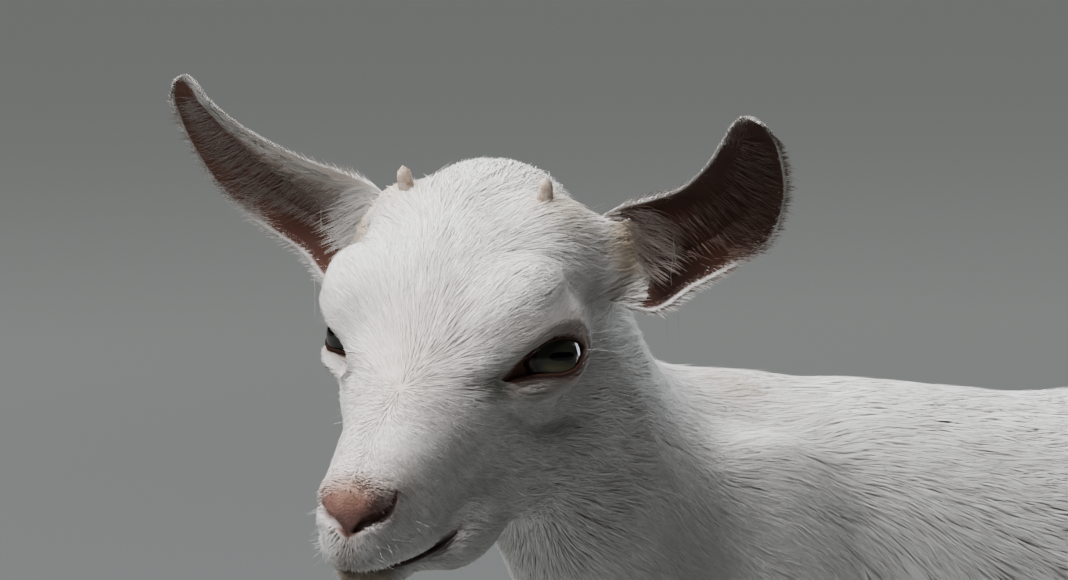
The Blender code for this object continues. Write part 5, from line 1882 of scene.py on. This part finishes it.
# Where long single hairs grow: the middle of their roots, how far they spread, the way they
# point, their lengths in millimetres and how many on each side.
WHISKERS = [
    ((15, -72, -24), (5, 7, 5), (0.85, -0.30, -0.35), (4, 8), 8),  # upper lip
    ((7, -84, -24), (4, 4, 5), (0.85, -0.55, -0.10), (4, 8), 38),  # front of the upper lip
    ((7, -80, -37), (6, 6, 3), (0.35, -0.50, -0.80), (4, 9), 30),  # chin
    ((28, -8, 13), (5, 8, 3), (0.45, -0.35, 0.75), (7, 14), 9),  # brow
    ((31, -14, -16), (4, 8, 4), (0.85, -0.20, -0.30), (5, 9), 5),  # under the eye
    ((38, 12, -4), (3, 5, 5), (0.75, 0.60, 0.0), (9, 18), 7),  # behind the eye
    ((33, 42, 12), (7, 6, 7), (0.80, 0.20, 0.30), (5, 10), 24),  # before the ears
]


class GOAT_OT_whiskers(bpy.types.Operator):
    """Whiskers, lashes and stray hairs of the head"""

    bl_idname = "goat.whiskers"
    bl_label = "Whiskers"

    def execute(self, context):
        coat = context.scene.goat_coat
        rng = np.random.default_rng(coat.seed + 77)
        ground = Ground(bpy.data.objects["skin"])
        roots, ways, lengths = [], [], []
        for centre, spread, way, (shortest, longest), count in WHISKERS:
            for side in (1, -1):
                roots.append((np.array(centre) + rng.normal(0, 0.6, (count, 3)) * spread) * (side, 1, 1))
                ways.append(unit(np.array(way) + rng.normal(0, 0.22, (count, 3))) * (side, 1, 1))
                lengths.append(rng.uniform(shortest, longest, count))
        for side in (1, -1):
            picked = LID_LOOP[(LID_LOOP[:, 1] > 1.0) & (LID_LOOP[:, 0] > -9)]
            picked = picked[rng.integers(0, len(picked), 46)] + rng.normal(0, 0.25, (46, 2)) + (0, 0.7)
            roots.append(eye_place(picked[:, 0], picked[:, 1], lid_surface(*picked.T) + 0.6, side))
            aim = GAZE * 0.75 + LID_ACROSS * 0.45 + LID_ALONG * 0.25
            ways.append(unit(aim + rng.normal(0, 0.16, (46, 3))) * (side, 1, 1))
            lengths.append(rng.uniform(2.5, 5.0, 46))
        roots, ways = from_head(np.vstack(roots)), turned_from_head(np.vstack(ways))
        lengths = np.concatenate(lengths) * MM
        places, normals = ground.land(roots)
        keep = (ways * normals).sum(1) > -0.2
        places, normals, ways, lengths = places[keep], normals[keep], ways[keep], lengths[keep]
        count = len(places)
        droop = turned_from_head(np.array((0.0, 0.25, -0.22))) + rng.normal(0, 0.08, (count, 3))
        facing = unit(normals + rng.normal(0, 0.5, (count, 3)))
        facing = unit(facing - ways * (facing * ways).sum(1, keepdims=True))
        rows = [
            (places + (ways * t + droop * t * t) * lengths[:, None], facing)
            for t in (0.0, 0.33, 0.66, 1.0)
        ]
        faces = np.array([ground.tree.find_nearest(place)[2] for place in places.tolist()])
        zero = np.zeros(count)
        marks = {mark: zero for mark in ("pink", "rim", "stain", "blush_and_shade", "tear_spot_and_shade", "ear")}
        mesh = tuft_mesh(
            "whiskers", rows, zero, rng.uniform(0.05, 0.09, count), ground.flat[faces, 0], zero + 0.8,
            False, zero, marks,
        )
        shown("whiskers", mesh, bpy.data.materials["coat"])
        return {"FINISHED"}


class GOAT_OT_coat(bpy.types.Operator):
    """The coat, as tufts that follow its lie"""

    bl_idname = "goat.coat"
    bl_label = "Coat"

    def execute(self, context):
        scene = context.scene
        coat = Coat(scene.goat_coat, scene.goat_flesh)
        head, neck, trunk = coat.is_head, coat.is_neck, coat.is_trunk
        front, upper = coat.head[:, 1] < -30, coat.head[:, 2] > 0
        fore, left = coat.body[:, 1] < 60, coat.body[:, 0] > 0
        throat = coat.body[:, 1] < -118
        coat.grow("coat_muzzle", head & front, 6.0, ridged=False, scale=(1.0, 0.62))
        coat.grow("coat_brow", head & ~front & upper, 7.5, ridged=False, scale=(1.35, 0.56), swing=0.38)
        coat.grow("coat_cheeks", head & ~front & ~upper, 6.0, ridged=False, scale=(1.1, 0.75))
        for side, word in SIDES:
            coat.grow_ear(side, word)
        coat.grow("coat_neck_left", neck & throat & left, 8.0, scale=(1.2, 0.52), lift=0.62)
        coat.grow("coat_neck_right", neck & throat & ~left, 8.0, scale=(1.2, 0.52), lift=0.62)
        coat.grow("coat_neck_back", neck & ~throat, 8.5, scale=(1.2, 0.52), lift=0.62)
        coat.grow("coat_trunk_front", trunk & fore, 5.7, scale=(1.2, 0.66), lift=0.45)
        coat.grow("coat_trunk_back", trunk & ~fore, 6.0, scale=(1.15, 0.70), lift=0.45)
        coat.grow("coat_legs_front", coat.is_leg & fore, 4.5, ridged=False, scale=(1.0, 0.75))
        coat.grow("coat_legs_hind", coat.is_leg & ~fore, 4.5, ridged=False, scale=(1.0, 0.75))
        coat.grow("coat_tail", coat.is_tail, 8.0, scale=(1.0, 0.7))
        return {"FINISHED"}


# --- Panel and running ---
class GOAT_PT_panel(bpy.types.Panel):
    """The goat kid's pieces, in the order they are made"""

    bl_idname = "GOAT_PT_panel"
    bl_label = "Goat kid"
    bl_space_type = "VIEW_3D"
    bl_region_type = "UI"
    bl_category = "Goat kid"

    def draw(self, context):
        for operator in OPERATORS:
            self.layout.operator(operator.bl_idname)


SETTINGS = {"goat_coat": CoatSettings, "goat_flesh": FleshSettings, "goat_stage": StageSettings}
OPERATORS = [
    GOAT_OT_stage,
    GOAT_OT_skin,
    GOAT_OT_ears,
    GOAT_OT_eyes,
    GOAT_OT_lids,
    GOAT_OT_horn_buds,
    GOAT_OT_claws,
    GOAT_OT_coat,
    GOAT_OT_whiskers,
]


def register():
    for kind in (*SETTINGS.values(), *OPERATORS, GOAT_PT_panel):
        bpy.utils.register_class(kind)
    for name, kind in SETTINGS.items():
        setattr(bpy.types.Scene, name, PointerProperty(type=kind))


def unregister():
    for name in SETTINGS:
        delattr(bpy.types.Scene, name)
    for kind in (GOAT_PT_panel, *reversed(OPERATORS), *reversed(SETTINGS.values())):
        bpy.utils.unregister_class(kind)


def main():
    register()
    for operator in OPERATORS:
        family, name = operator.bl_idname.split(".")
        getattr(getattr(bpy.ops, family), name)()


if __name__ == "__main__":
    main()
